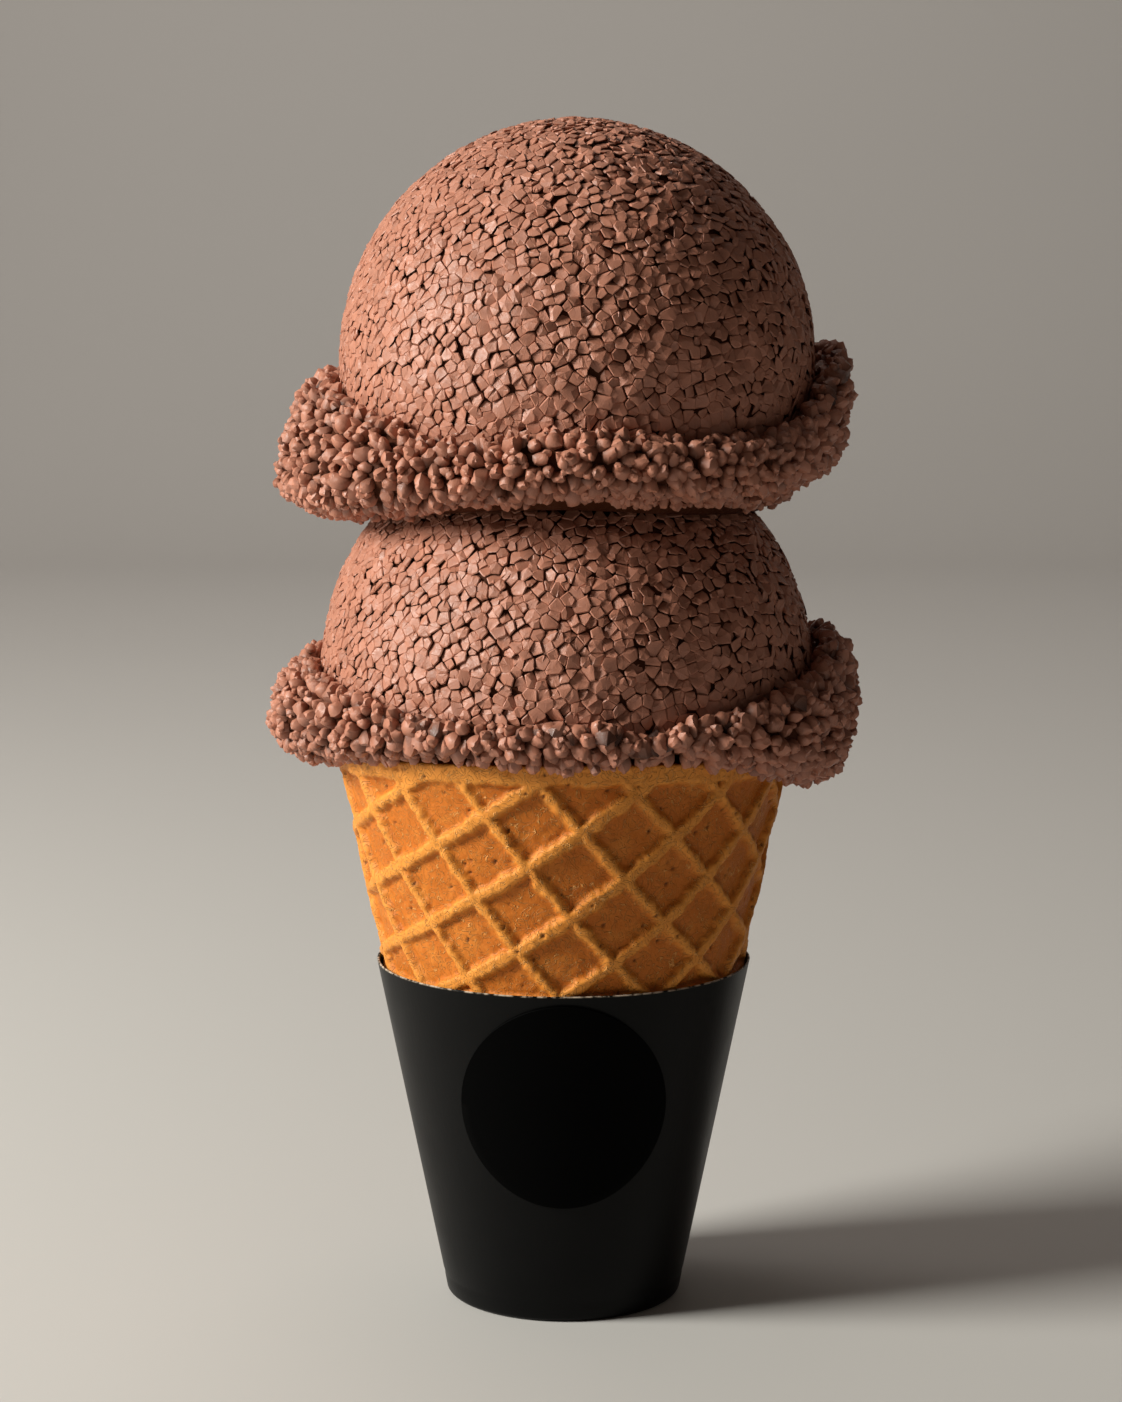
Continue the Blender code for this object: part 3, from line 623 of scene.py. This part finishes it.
def make_waffle(settings, wall, floor):
    """The cone: a fine grid of turns and heights, pushed out by the pattern, closed below and on top.

    Its radius is the plain taper less the ridges' height plus the pattern. Smooth noise at three
    sizes roughens it, and scattered pores sink into it.
    """
    columns = 648
    fine = np.linspace(LATTICE_FOOT_HEIGHT - 1.0 * MM, CONE_RIM_HEIGHT - 0.5 * MM, 118)
    heights = np.concatenate([[floor + PIECE_GAP, 20.0 * MM, 36.0 * MM], fine])
    turns = np.linspace(-math.pi, math.pi, columns, endpoint=False)
    turn, height = np.meshgrid(turns, heights)
    pattern = waffle_relief(turn, height, settings, wall)
    spots = on_axis(turn, cone_radius(height, wall), height)
    rough = (0.9 * lumps(spots, 2.4 * MM, 21) + 0.8 * lumps(spots, 1.0 * MM, 22)
             + 0.6 * lumps(spots, 0.5 * MM, 23)) * settings.roughness_depth
    pore = 1.0 - ease(nearest_speck(spots, 2.3 * MM, 31), 0.1 * MM, 0.36 * MM)
    share_up = pattern / settings.ridge_height
    rough *= 1.0 + 5.0 * share_up * (1.0 - share_up)
    radius = cone_radius(height, wall) - settings.ridge_height + pattern + np.minimum(rough, 0.12 * MM)
    radius -= 0.32 * MM * pore
    directions = FRONT + turn
    lift = rim_wave(directions) * ease(height, CONE_WAVE_START, CONE_RIM_HEIGHT)
    wall_points = on_axis(directions, radius, height + lift)
    plain = directions[:1]
    edge = cone_radius(CONE_RIM_HEIGHT, wall)
    top_rings = []
    for inset, drop in ((0.06, 0.2), (0.25, 0.04), (0.5, 0.0), (2.4, 0.0)):
        across = edge - inset * MM
        top_rings.append(on_axis(plain, across + 0.0 * plain,
                                 CONE_RIM_HEIGHT - drop * MM + rim_wave(plain) * across / edge))
    body = np.concatenate([wall_points, *top_rings])
    points = np.concatenate([[[0.0, 0.0, heights[0]]], body.reshape(-1, 3), [[0.0, 0.0, CONE_RIM_HEIGHT]]])
    quads, triangles = closed_grid(len(body), columns, False)
    extra = len(top_rings) * columns
    raised = np.concatenate([[0.0], (pattern / settings.ridge_height).ravel(), np.ones(extra), [1.0]])
    pores = np.concatenate([[0.0], pore.ravel(), np.zeros(extra), [0.0]])
    add_piece("waffle", points, quads, triangles, waffle_material(settings), "waffle_cone", "waffle",
              ridge=raised, pore=pores)


# ---- scoops ---------------------------------------------------------------------------------------

class Scoop:
    """Sizes and places of one scoop: its ball, its skirt and what it rests on."""

    def __init__(self, name, settings):
        """Take the ball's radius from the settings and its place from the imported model."""
        self.name = name
        self.node = f"{name}_scoop"
        self.upper = name == "upper"
        if self.upper:
            self.radius = settings.upper_radius
            self.centre = np.array([UPPER_CENTRE_SHIFT, 0.0, UPPER_TOP - self.radius])
            self.skirt = UPPER_SKIRT
        else:
            self.radius = settings.lower_radius
            self.centre = np.array([LOWER_CENTRE_SHIFT, 0.0, LOWER_CENTRE_HEIGHT])
            self.skirt = LOWER_SKIRT

    def crease(self, directions):
        """Height of the crease between ball and skirt."""
        return self.top(directions) - around(self.skirt["groove"], directions)

    def top(self, directions):
        """Height of the lip's top edge; the lower lip has one short dip on its front."""
        top = around(self.skirt["top"], directions)
        if not self.upper:
            away = (directions % FULL_TURN) - math.radians(288.0)
            top = top - 1.6 * MM * np.exp(-(away / math.radians(7.0)) ** 2)
        return top

    def lip(self, directions):
        """Distances from the ball's axis and heights along the lip, from the crease over the crest and down.

        The groove's wall rises from the crease to the crest on a curve. Two quarter ellipses follow:
        from the crest out to the widest point, and from there in to the underside.
        """
        reach, widest, crest, bottom = (around(self.skirt[key], directions)[:, None]
                                        for key in ("reach", "widest", "crest", "bottom"))
        top = self.top(directions)[:, None]
        crease = self.crease(directions)[:, None]
        foot = np.sqrt(np.maximum(self.radius ** 2 - (crease - self.centre[2]) ** 2, 0.0))
        shares = np.linspace(1.0, 0.1, 8)[None]
        groove = (crest + (foot - crest) * shares, top + (crease - top) * shares ** GROOVE_CURVE)
        middle = 0.5 * (top + bottom) - self.centre[2]
        overhang = reach - np.sqrt(np.maximum(self.radius ** 2 - middle ** 2, 0.0))
        under = reach - LIP_FULLNESS * overhang - LIP_LEAST_THICKNESS
        sweep = np.linspace(0.5 * math.pi, -0.5 * math.pi, 25)[None]
        edge = np.where(sweep > 0.0, crest, under)
        end = np.where(sweep > 0.0, top, bottom)
        lobe = (edge + (reach - edge) * np.cos(sweep), widest + (end - widest) * np.abs(np.sin(sweep)))
        return tuple(np.concatenate(pair, axis=1) for pair in zip(groove, lobe))

    def underside(self, directions, across, height, settings):
        """Distances and heights from the lip's end to near the axis, clear of what the scoop rests on."""
        last, low = across[:, -1:], height[:, -1:]
        wall = settings.sleeve.wall
        if self.upper:
            shift = self.centre[0] - LOWER_CENTRE_SHIFT
            distance = np.array(UPPER_SEAT_DISTANCES)[None]
            rise = np.sqrt(settings.scoops.lower_radius ** 2 - distance ** 2)
            flat = math.sqrt(settings.scoops.lower_radius ** 2 - LOWER_FLAT_RADIUS ** 2)
            rise = np.where(distance < LOWER_FLAT_RADIUS, flat + LOWER_FLATTENING * (rise - flat), rise)
            seat = LOWER_CENTRE_HEIGHT + rise + PIECE_GAP
            inward = (np.sqrt(distance ** 2 - (shift * np.sin(directions[:, None])) ** 2)
                      - shift * np.cos(directions[:, None]))
            part = np.minimum((last - inward) / (last - LOWER_FLAT_RADIUS), 1.0)
            return inward, np.maximum(low + (seat - low) * part * part, seat)
        outside = cone_radius(CONE_RIM_HEIGHT, wall) + 2.0 * PIECE_GAP
        rest = CONE_RIM_HEIGHT + rim_wave(directions)[:, None] + PIECE_GAP
        ones = np.ones_like(rest)
        return (np.concatenate([(outside + 0.4 * MM) * ones, outside * ones, 0.5 * outside * ones], axis=1),
                np.concatenate([np.maximum(np.minimum(low + 0.4 * MM, rest), low), np.maximum(rest, low),
                                rest + PIECE_GAP], axis=1))


def undulation(points):
    """How far a ball's surface swells or sinks over wide soft waves."""
    return 0.16 * MM * lumps(points, 11.0 * MM, 41) + 0.10 * MM * lumps(points, 4.5 * MM, 42) - 0.16 * MM


def make_core(scoop, settings, material):
    """The scoop's core under plates and beads: its profile carried round the axis, set inwards.

    The profile is the ball's arc down to the crease, then the lip and the underside. Each point moves
    inwards, square to the profile, by the crevices' depth on the ball and by most of a bead on the lip.
    """
    columns = 256
    directions = np.arange(columns) / columns * FULL_TURN
    crease = np.arccos((scoop.crease(directions)[:, None] - scoop.centre[2]) / scoop.radius)
    arc = crease * np.linspace(0.0, 1.0, 61)[None, 1:-1]
    depth = settings.scoops.plate_depth
    rays = on_axis(directions[:, None], np.sin(arc), np.cos(arc))
    ball = scoop.radius - depth + undulation(scoop.centre + rays * scoop.radius)
    dome_across = ball * np.sin(arc)
    rise = ball * np.cos(arc)
    if not scoop.upper:
        flat = math.sqrt((scoop.radius - depth) ** 2 - LOWER_FLAT_RADIUS ** 2)
        rise = np.where(rise > flat, flat + LOWER_FLATTENING * (rise - flat), rise)
    crown = rise[:, 0].mean()
    across, height = scoop.lip(directions)
    inward, rest = scoop.underside(directions, across, height, settings)
    slope_across = np.gradient(across, axis=1)
    slope_height = np.gradient(height, axis=1)
    size = np.hypot(slope_across, slope_height) + 1e-9
    spots = on_axis(directions[:, None], across, height)
    sink = 1.2 * MM - 0.35 * MM * lumps(spots, 3.2 * MM, 51)
    across = across + sink * slope_height / size
    height = height - sink * slope_across / size
    across_all = np.concatenate([dome_across, across, inward], axis=1).T
    height_all = np.concatenate([scoop.centre[2] + rise, height, rest], axis=1).T
    body = on_axis(directions[None], across_all, height_all)
    body[..., 0] += scoop.centre[0]
    top = [[scoop.centre[0], 0.0, scoop.centre[2] + crown]]
    end = [[scoop.centre[0], 0.0, rest[:, -1].mean()]]
    points = np.concatenate([top, body.reshape(-1, 3), end])
    quads, triangles = closed_grid(len(body), columns, True)
    # The core takes the crevice colour all over, as painted shade where it shows between plates and beads.
    add_piece(f"{scoop.name}_core", points, quads, triangles, material, scoop.node, "ice_cream",
              tone=np.zeros(len(points)))


def ball_rows(scoop, spacing, random):
    """Unit vectors in jittered rows round an axis that leans to the left and away from the front.

    The rows' distance grows from the near pole to the far one, and so does the distance along a row.
    """
    lean = unit(np.array([-0.42, 0.36, 0.83]))
    count = int(math.pi * scoop.radius / spacing)
    t = (np.arange(count) + 0.5) / count
    growth = 0.32
    polar = math.pi * (t * (1.0 - 0.5 * growth) + 0.5 * growth * t * t)
    gap = spacing * (1.0 - 0.5 * growth + growth * t)
    along = np.maximum(np.round(FULL_TURN * scoop.radius * np.sin(polar) / (1.12 * gap)), 1.0).astype(int)
    row = np.repeat(np.arange(count), along)
    place = np.arange(len(row)) - np.repeat(np.cumsum(along) - along, along)
    angle = (place + random.uniform(-0.3, 0.3, len(row)) + random.uniform(0.0, 1.0, count)[row]) / along[row]
    polar = polar[row] + random.uniform(-0.3, 0.3, len(row)) * gap[row] / scoop.radius
    side, front = frames(lean, np.array([0.0, 1.0, 0.0]))
    angle = angle * FULL_TURN
    around_axis = np.cos(angle)[:, None] * side + np.sin(angle)[:, None] * front
    return np.cos(polar)[:, None] * lean + np.sin(polar)[:, None] * around_axis, lean


def make_plates(scoop, settings, material, random):
    """The small plates that cover a ball: one closed shape of a few dozen faces for each.

    A plate's outline in any direction is the nearest of the lines that halve the way to its
    neighbours. Its corners are the trial directions where that outline bends most. Each plate is
    narrowed or widened by a crevice of its own, so that some overlap. An inner ring carries the top,
    the outer ring drops a little, and a point below closes it. Each plate tips its own way, and all
    tip a little so that the lower right edge stands proud.
    """
    columns = PLATE_CORNERS
    near = PLATE_NEIGHBOURS
    scoops = settings.scoops
    seeds, lean = ball_rows(scoop, scoops.plate_spacing, random)
    places = scoop.centre + seeds * scoop.radius
    directions = np.arctan2(seeds[:, 1], seeds[:, 0])
    low = scoop.crease(directions) - 0.6 * MM
    high = scoop.centre[2] + 2.0 * scoop.radius if scoop.upper else LOWER_PLATES_END
    seeds = seeds[(places[:, 2] > low) & (places[:, 2] < high)]
    count = len(seeds)
    closeness = seeds @ seeds.T
    np.fill_diagonal(closeness, -2.0)
    neighbours = np.argpartition(-closeness, near, axis=1)[:, :near]
    side, front = frames(seeds, lean)
    offsets = seeds[neighbours] - seeds[:, None]
    across = np.einsum("nki,ni->nk", offsets, side) * scoop.radius
    along = np.einsum("nki,ni->nk", offsets, front) * scoop.radius
    distance = np.hypot(across, along)
    bearing = np.arctan2(along, across)
    bulk = random.uniform(-0.17, 0.17, count)
    half = distance * (0.5 + 0.5 * (bulk[:, None] - bulk[neighbours]))
    vigour = 0.45 + 0.8 * ease(seeds[:, 0], -0.8, 0.1)
    trial = np.arange(PLATE_TRIALS)[None] / PLATE_TRIALS * FULL_TURN
    facing = np.cos(trial[:, :, None] - bearing[:, None, :])
    reach = (half[:, None, :] / np.maximum(facing, 0.05)).min(axis=2)
    bend = 2.0 * reach - np.roll(reach, 1, axis=1) - np.roll(reach, -1, axis=1)
    corners = np.sort(np.argsort(-bend, axis=1)[:, :columns], axis=1)
    angles = np.take_along_axis(np.broadcast_to(trial, reach.shape), corners, axis=1)
    mean = reach.mean(axis=1, keepdims=True)
    reach = np.minimum(reach, mean * random.uniform(1.04, 1.4, count)[:, None])
    outline = np.minimum(np.take_along_axis(reach, corners, axis=1), PLATE_LARGEST)
    crevice = scoops.plate_crevice * (random.uniform(-1.1, 0.05, count) + 0.3 * (vigour - 0.5))
    uneven = 0.5 * scoops.plate_crevice * np.cos(angles - random.uniform(0.0, FULL_TURN, count)[:, None])
    outline = (outline - crevice[:, None] - uneven) * random.normal(1.0, 0.03, outline.shape)
    sunken = random.uniform(size=count) < 0.05 * vigour
    shares = (0.84, 1.0)
    drops = np.array([0.0, 0.0, -0.15, -1.0]) * MM
    parts = [1, columns, columns, 1]
    stretch = np.concatenate([np.zeros((count, 1)), *[outline * part for part in shares],
                              np.zeros((count, 1))], axis=1)
    spin = np.concatenate([angles[:, :1], angles, angles, angles[:, :1]], axis=1)
    level = np.repeat(drops, parts)[None]
    dome = np.repeat([0.09, -0.01, -0.01, 0.0], parts)[None] * MM
    level = level + dome * random.uniform(-0.7, 1.2, (count, 1))
    x = stretch * np.cos(spin)
    y = stretch * np.sin(spin)
    down = np.array(PLATE_DOWNHILL)
    slant = PLATE_SLANT * np.stack([side @ down, front @ down])[..., None]
    tip = slant + random.normal(0.0, 0.19, (2, count, 1)) * vigour[:, None]
    base = random.normal(0.0, 0.09, (count, 1)) * MM * vigour[:, None] - PLATE_SUNKEN_DEPTH * sunken[:, None]
    bump = 0.05 * MM * random.normal(size=x.shape)
    lifted = level + base + x * tip[0] + (y * tip[1] - 0.03 * np.abs(y)) + bump
    lifted = np.clip(lifted, -1.2 * MM, 0.2 * MM)
    flat = seeds[:, None] * scoop.radius + side[:, None] * x[..., None] + front[:, None] * y[..., None]
    rays = unit(flat)
    swell = undulation(scoop.centre + rays * scoop.radius)
    points = scoop.centre + rays * (scoop.radius + swell + lifted)[..., None]
    # Painted light: rims painted lighter than the middle as a painted highlight, the point below painted dark
    # as painted shade in the crevice; the random terms are the plates' own tone.
    tone = np.repeat([0.8, 0.94, 0.9, 0.0], parts)[None]
    tone = tone + random.normal(0.0, 0.06, (count, 1)) + random.normal(0.0, 0.03, x.shape)
    quads, triangles = closed_grid(2, columns, True)
    stride = 2 + 2 * columns
    piece = add_piece(f"{scoop.name}_plates", points.reshape(-1, 3), repeated(quads, count, stride),
                      repeated(triangles, count, stride), material, scoop.node, "ice_cream",
                      tone=np.clip(tone, 0.0, 1.0))
    piece.data.set_sharp_from_angle(angle=math.radians(16.0))


def make_beads(scoop, settings, material, random):
    """The beads that cover a skirt: one closed lump of a few dozen faces for each, in jittered rows.

    The rows follow the lip at set lengths along its profile. A bead is a ball stretched outwards along
    the lip's own normal, tipped a little, and cut by a few random planes that give it facets. A share
    of the beads carry a smaller bud on one side. The last row sits at the lip's lower end, and on the
    lower scoop it hangs below it.
    """
    scoops = settings.scoops
    spacing = scoops.bead_spacing
    rows = np.arange(BEAD_ROWS)
    per_row = int(FULL_TURN * BEAD_ROW_RADIUS / spacing)
    row = np.repeat(rows, per_row)
    place = np.tile(np.arange(per_row), len(rows)) + 0.5 * (row % 2)
    directions = (place + random.uniform(-0.32, 0.32, len(row))) / per_row * FULL_TURN
    travel = (row * 0.86 + random.uniform(-0.28, 0.28, len(row))) * spacing
    across, height = scoop.lip(directions)
    inward, rest = scoop.underside(directions, across, height, settings)
    across = np.concatenate([across, inward[:, :1]], axis=1)
    height = np.concatenate([height, rest[:, :1]], axis=1)
    run = np.hypot(np.diff(across, axis=1), np.diff(height, axis=1))
    total = np.concatenate([np.zeros((len(row), 1)), np.cumsum(run, axis=1)], axis=1)
    travel = travel + 0.25 * total[:, 7]
    travel = np.where(row == rows[-1], total[:, -1] - 0.2 * MM, travel)
    keep = (travel < total[:, -1]) & (travel >= 0.0)
    index = np.clip((total < travel[:, None]).sum(axis=1) - 1, 0, run.shape[1] - 1)
    pick = np.arange(len(row))
    part = ((travel - total[pick, index]) / np.maximum(run[pick, index], 1e-9))[:, None]
    here = np.stack([across[pick, index], height[pick, index]], axis=-1)
    ahead = np.stack([across[pick, index + 1], height[pick, index + 1]], axis=-1)
    spot = here + (ahead - here) * part
    course = unit(ahead - here + 1e-12)
    keep &= np.isfinite(spot).all(axis=1)
    directions, spot, course = directions[keep], spot[keep], course[keep]
    hanging = (row[keep] == rows[-1]) & (not scoop.upper)
    count = len(directions)
    outward = unit(on_axis(directions, -course[:, 1], course[:, 0]))
    places = on_axis(directions, spot[:, 0], spot[:, 1]) + np.array([scoop.centre[0], 0.0, 0.0])
    swell = lumps(places, 3.2 * MM, 51)
    axes = unit(outward + random.normal(0.0, 0.27, (count, 3)))
    side, front = frames(axes, unit(random.normal(size=(count, 3))))
    coarse = 0.5 + 0.5 * np.cos(directions - math.radians(325.0))
    size = scoops.bead_radius * np.exp(random.normal(0.0, 0.14, count)) * (0.86 + 0.26 * coarse)
    reach = size * random.uniform(1.15, 1.7, count)
    seat = places - outward * (0.72 * size + 0.05 * MM - 0.5 * MM * swell)[:, None]
    seat[hanging, 2] -= BEAD_HANG
    bud = np.flatnonzero(random.uniform(size=count) < BEAD_BUD_SHARE)
    turn = random.uniform(0.0, FULL_TURN, len(bud))[:, None]
    sideways = np.cos(turn) * side[bud] + np.sin(turn) * front[bud]
    push = reach[bud] * random.uniform(0.0, 0.6, len(bud))
    lean = sideways * size[bud, None] * 0.85 + axes[bud] * push[:, None]
    seat = np.concatenate([seat, seat[bud] + lean])
    size = np.concatenate([size, size[bud] * random.uniform(0.45, 0.68, len(bud))])
    reach = np.concatenate([reach, size[count:] * random.uniform(1.0, 1.5, len(bud))])
    axes = np.concatenate([axes, unit(axes[bud] + 0.7 * sideways)])
    directions = np.concatenate([directions, directions[bud]])
    swell = np.concatenate([swell, swell[bud]])
    count = len(size)
    side, front = frames(axes, unit(random.normal(size=(count, 3))))
    rings = np.radians(BEAD_RING_ANGLES)
    columns = BEAD_COLUMNS
    turns = np.arange(columns) / columns * FULL_TURN
    ring = np.repeat(rings, columns)
    turn = np.tile(turns, len(rings)) + np.repeat(np.arange(len(rings)) * 0.39, columns)
    template = np.stack([np.sin(ring) * np.cos(turn), np.sin(ring) * np.sin(turn), np.cos(ring)], axis=-1)
    template = np.concatenate([[[0.0, 0.0, 1.0]], template, [[0.0, 0.0, -1.0]]])
    cuts = unit(random.normal(size=(count, BEAD_CUTS, 3)) + np.array([0.0, 0.0, 0.7]))
    facing = np.einsum("vi,nki->nvk", template, cuts)
    rough = 0.5 + 0.5 * np.cos(directions - math.radians(300.0))
    hold = (random.uniform(0.55, 0.92, (count, BEAD_CUTS)) + 0.08 * (1.0 - rough)[:, None])[:, None, :]
    trim = np.minimum(1.0, (hold / np.maximum(facing, 0.05)).min(axis=2))
    shape = template[None] * trim[..., None] * (1.0 + 0.055 * random.normal(size=trim.shape))[..., None]
    points = (seat[:, None] + side[:, None] * (shape[..., :1] * size[:, None, None])
              + front[:, None] * (shape[..., 1:2] * size[:, None, None])
              + axes[:, None] * (shape[..., 2:] * reach[:, None, None]))
    # Painted light: each bead is painted lightest at its tip and dark at its foot, as painted shade between
    # beads, and beads that the swell pushes outwards are painted lighter; the random term is their own tone.
    tone = np.repeat([1.0, 0.97, 0.86, 0.66, 0.3, 0.0], [1, columns, columns, columns, columns, 1])[None]
    tone = tone + 0.14 * swell[:, None] + random.normal(0.0, 0.07, (count, 1))
    quads, triangles = closed_grid(len(rings), columns, True)
    stride = len(template)
    piece = add_piece(f"{scoop.name}_beads", points.reshape(-1, 3), repeated(quads, count, stride),
                      repeated(triangles, count, stride), material, scoop.node, "ice_cream",
                      tone=np.clip(tone, 0.0, 1.0))
    piece.data.set_sharp_from_angle(angle=math.radians(42.0))


# ---- stage ----------------------------------------------------------------------------------------

def make_floor(settings):
    """The floor and backdrop: a flat sheet that rises behind the cone on a quarter circle."""
    reach, bend, wide, tall = 1.1, 0.6, 3.0, 2.2
    turns = np.linspace(0.0, 0.5 * math.pi, 25)
    y = np.concatenate([[-2.5, 0.0], reach + bend * np.sin(turns), [reach + bend]])
    z = np.concatenate([[0.0, 0.0], bend * (1.0 - np.cos(turns)), [tall]])
    points = np.concatenate([np.stack([side * wide * np.ones_like(y), y, z], axis=-1) for side in (-1.0, 1.0)])
    step = np.arange(len(y) - 1)
    faces = np.stack([step, step + len(y), step + len(y) + 1, step + 1], axis=-1)
    mesh = bpy.data.meshes.new("floor")
    mesh.from_pydata(points.tolist(), [], faces.tolist())
    mesh.polygons.foreach_set("use_smooth", np.ones(len(faces), bool))
    paint = Painter("pale_floor", 0.75)
    clouds = paint.noise(0.35, 2.0)
    mesh.materials.append(paint.finish(paint.mix(paint.map(clouds, 0.3, 0.7),
                                                 [0.985 * part for part in settings.floor],
                                                 tuple(settings.floor))))
    floor = bpy.data.objects.new("floor", mesh)
    bpy.context.scene.collection.objects.link(floor)


def add_light(name, place, aim, size, power, tint):
    """A soft square light at a place, turned to its aim."""
    data = bpy.data.lights.new(name, "AREA")
    data.shape = "SQUARE"
    data.size = size
    data.energy = power
    data.color = tint
    light = bpy.data.objects.new(name, data)
    way = aim - np.asarray(place)
    flat = math.hypot(way[0], way[1])
    light.location = place
    light.rotation_euler = (math.atan2(flat, -way[2]), 0.0, math.atan2(-way[0], way[1]))
    bpy.context.scene.collection.objects.link(light)


def make_stage(settings):
    """Floor, three soft lights, an even sky and the camera."""
    make_floor(settings)
    aim = np.array([0.0, 0.0, 0.09])
    add_light("key", (-0.74, -0.22, 0.455), aim, 0.30, settings.key_power, KEY_TINT)
    add_light("backdrop", (-0.3, 0.5, 1.3), np.array([0.0, 1.7, 0.5]), 1.0, settings.backdrop_power,
              SOFT_TINT)
    add_light("fill", (0.75, -0.55, 0.35), aim, 0.6, settings.fill_power, SOFT_TINT)
    scene = bpy.context.scene
    world = scene.world or bpy.data.worlds.new("sky")
    scene.world = world
    world.use_nodes = True
    sky = world.node_tree.nodes["Background"]
    sky.inputs["Color"].default_value = SKY_TINT
    sky.inputs["Strength"].default_value = settings.sky
    data = bpy.data.cameras.new("camera")
    data.lens = settings.camera_lens
    data.sensor_width = 36.0
    data.clip_start = 0.01
    camera = bpy.data.objects.new("camera", data)
    camera.location = (-0.35 * MM, -settings.camera_distance, settings.camera_height)
    camera.rotation_euler = (0.5 * math.pi - settings.camera_pitch, 0.0, 0.0)
    scene.collection.objects.link(camera)
    scene.camera = camera
    scene.view_settings.view_transform = "Standard"


# ---- operators ------------------------------------------------------------------------------------

class OBJECT_OT_cone_sleeve(bpy.types.Operator):
    """Build the black paper sleeve"""

    bl_idname = "object.cone_sleeve"
    bl_label = "Paper sleeve"

    def execute(self, context):
        """Make the sleeve from its settings."""
        make_sleeve(context.scene.ice_cream_cone.sleeve)
        return {"FINISHED"}


class OBJECT_OT_cone_label(bpy.types.Operator):
    """Build the plain round label on the sleeve"""

    bl_idname = "object.cone_label"
    bl_label = "Round label"

    def execute(self, context):
        """Make the label from its settings."""
        make_label(context.scene.ice_cream_cone.sleeve)
        return {"FINISHED"}


class OBJECT_OT_cone_waffle(bpy.types.Operator):
    """Build the waffle cone"""

    bl_idname = "object.cone_waffle"
    bl_label = "Waffle cone"

    def execute(self, context):
        """Make the waffle cone from its settings."""
        settings = context.scene.ice_cream_cone
        make_waffle(settings.waffle, settings.sleeve.wall, settings.sleeve.floor)
        return {"FINISHED"}


class OBJECT_OT_cone_scoops(bpy.types.Operator):
    """Build both scoops: core, plates of the ball and beads of the skirt"""

    bl_idname = "object.cone_scoops"
    bl_label = "Scoops"

    def execute(self, context):
        """Make both scoops from their settings."""
        settings = context.scene.ice_cream_cone
        material = ice_cream_material(settings.scoops, "chocolate_ice_cream", 0.5)
        shade = ice_cream_material(settings.scoops, "chocolate_shade", 0.03)
        for number, name in enumerate(("lower", "upper")):
            scoop = Scoop(name, settings.scoops)
            make_core(scoop, settings, shade)
            random = np.random.default_rng(settings.scoops.seed + number)
            make_plates(scoop, settings, material, random)
            make_beads(scoop, settings, material, random)
        return {"FINISHED"}


class OBJECT_OT_cone_stage(bpy.types.Operator):
    """Build the floor, the lights and the camera"""

    bl_idname = "object.cone_stage"
    bl_label = "Stage"

    def execute(self, context):
        """Make the stage from its settings."""
        make_stage(context.scene.ice_cream_cone.stage)
        return {"FINISHED"}


class VIEW3D_PT_ice_cream_cone(bpy.types.Panel):
    """Lists the operators of the ice cream cone"""

    bl_label = "Ice cream cone"
    bl_space_type = "VIEW_3D"
    bl_region_type = "UI"
    bl_category = "Ice cream"

    def draw(self, context):
        """Show one button for each operator."""
        for operator in OPERATORS:
            self.layout.operator(operator.bl_idname)


OPERATORS = (
    OBJECT_OT_cone_sleeve,
    OBJECT_OT_cone_label,
    OBJECT_OT_cone_waffle,
    OBJECT_OT_cone_scoops,
    OBJECT_OT_cone_stage,
)
CLASSES = (
    SleeveSettings,
    WaffleSettings,
    ScoopSettings,
    StageSettings,
    ConeSettings,
    *OPERATORS,
    VIEW3D_PT_ice_cream_cone,
)


def register():
    """Register the classes and hang the settings on the scene."""
    for item in CLASSES:
        bpy.utils.register_class(item)
    bpy.types.Scene.ice_cream_cone = PointerProperty(type=ConeSettings, name="Ice cream cone",
                                                     description="Settings of the ice cream cone")


def unregister():
    """Take the settings and the classes away again."""
    del bpy.types.Scene.ice_cream_cone
    for item in reversed(CLASSES):
        bpy.utils.unregister_class(item)


def main():
    register()
    bpy.ops.object.cone_sleeve()
    bpy.ops.object.cone_label()
    bpy.ops.object.cone_waffle()
    bpy.ops.object.cone_scoops()
    bpy.ops.object.cone_stage()


if __name__ == "__main__":
    main()
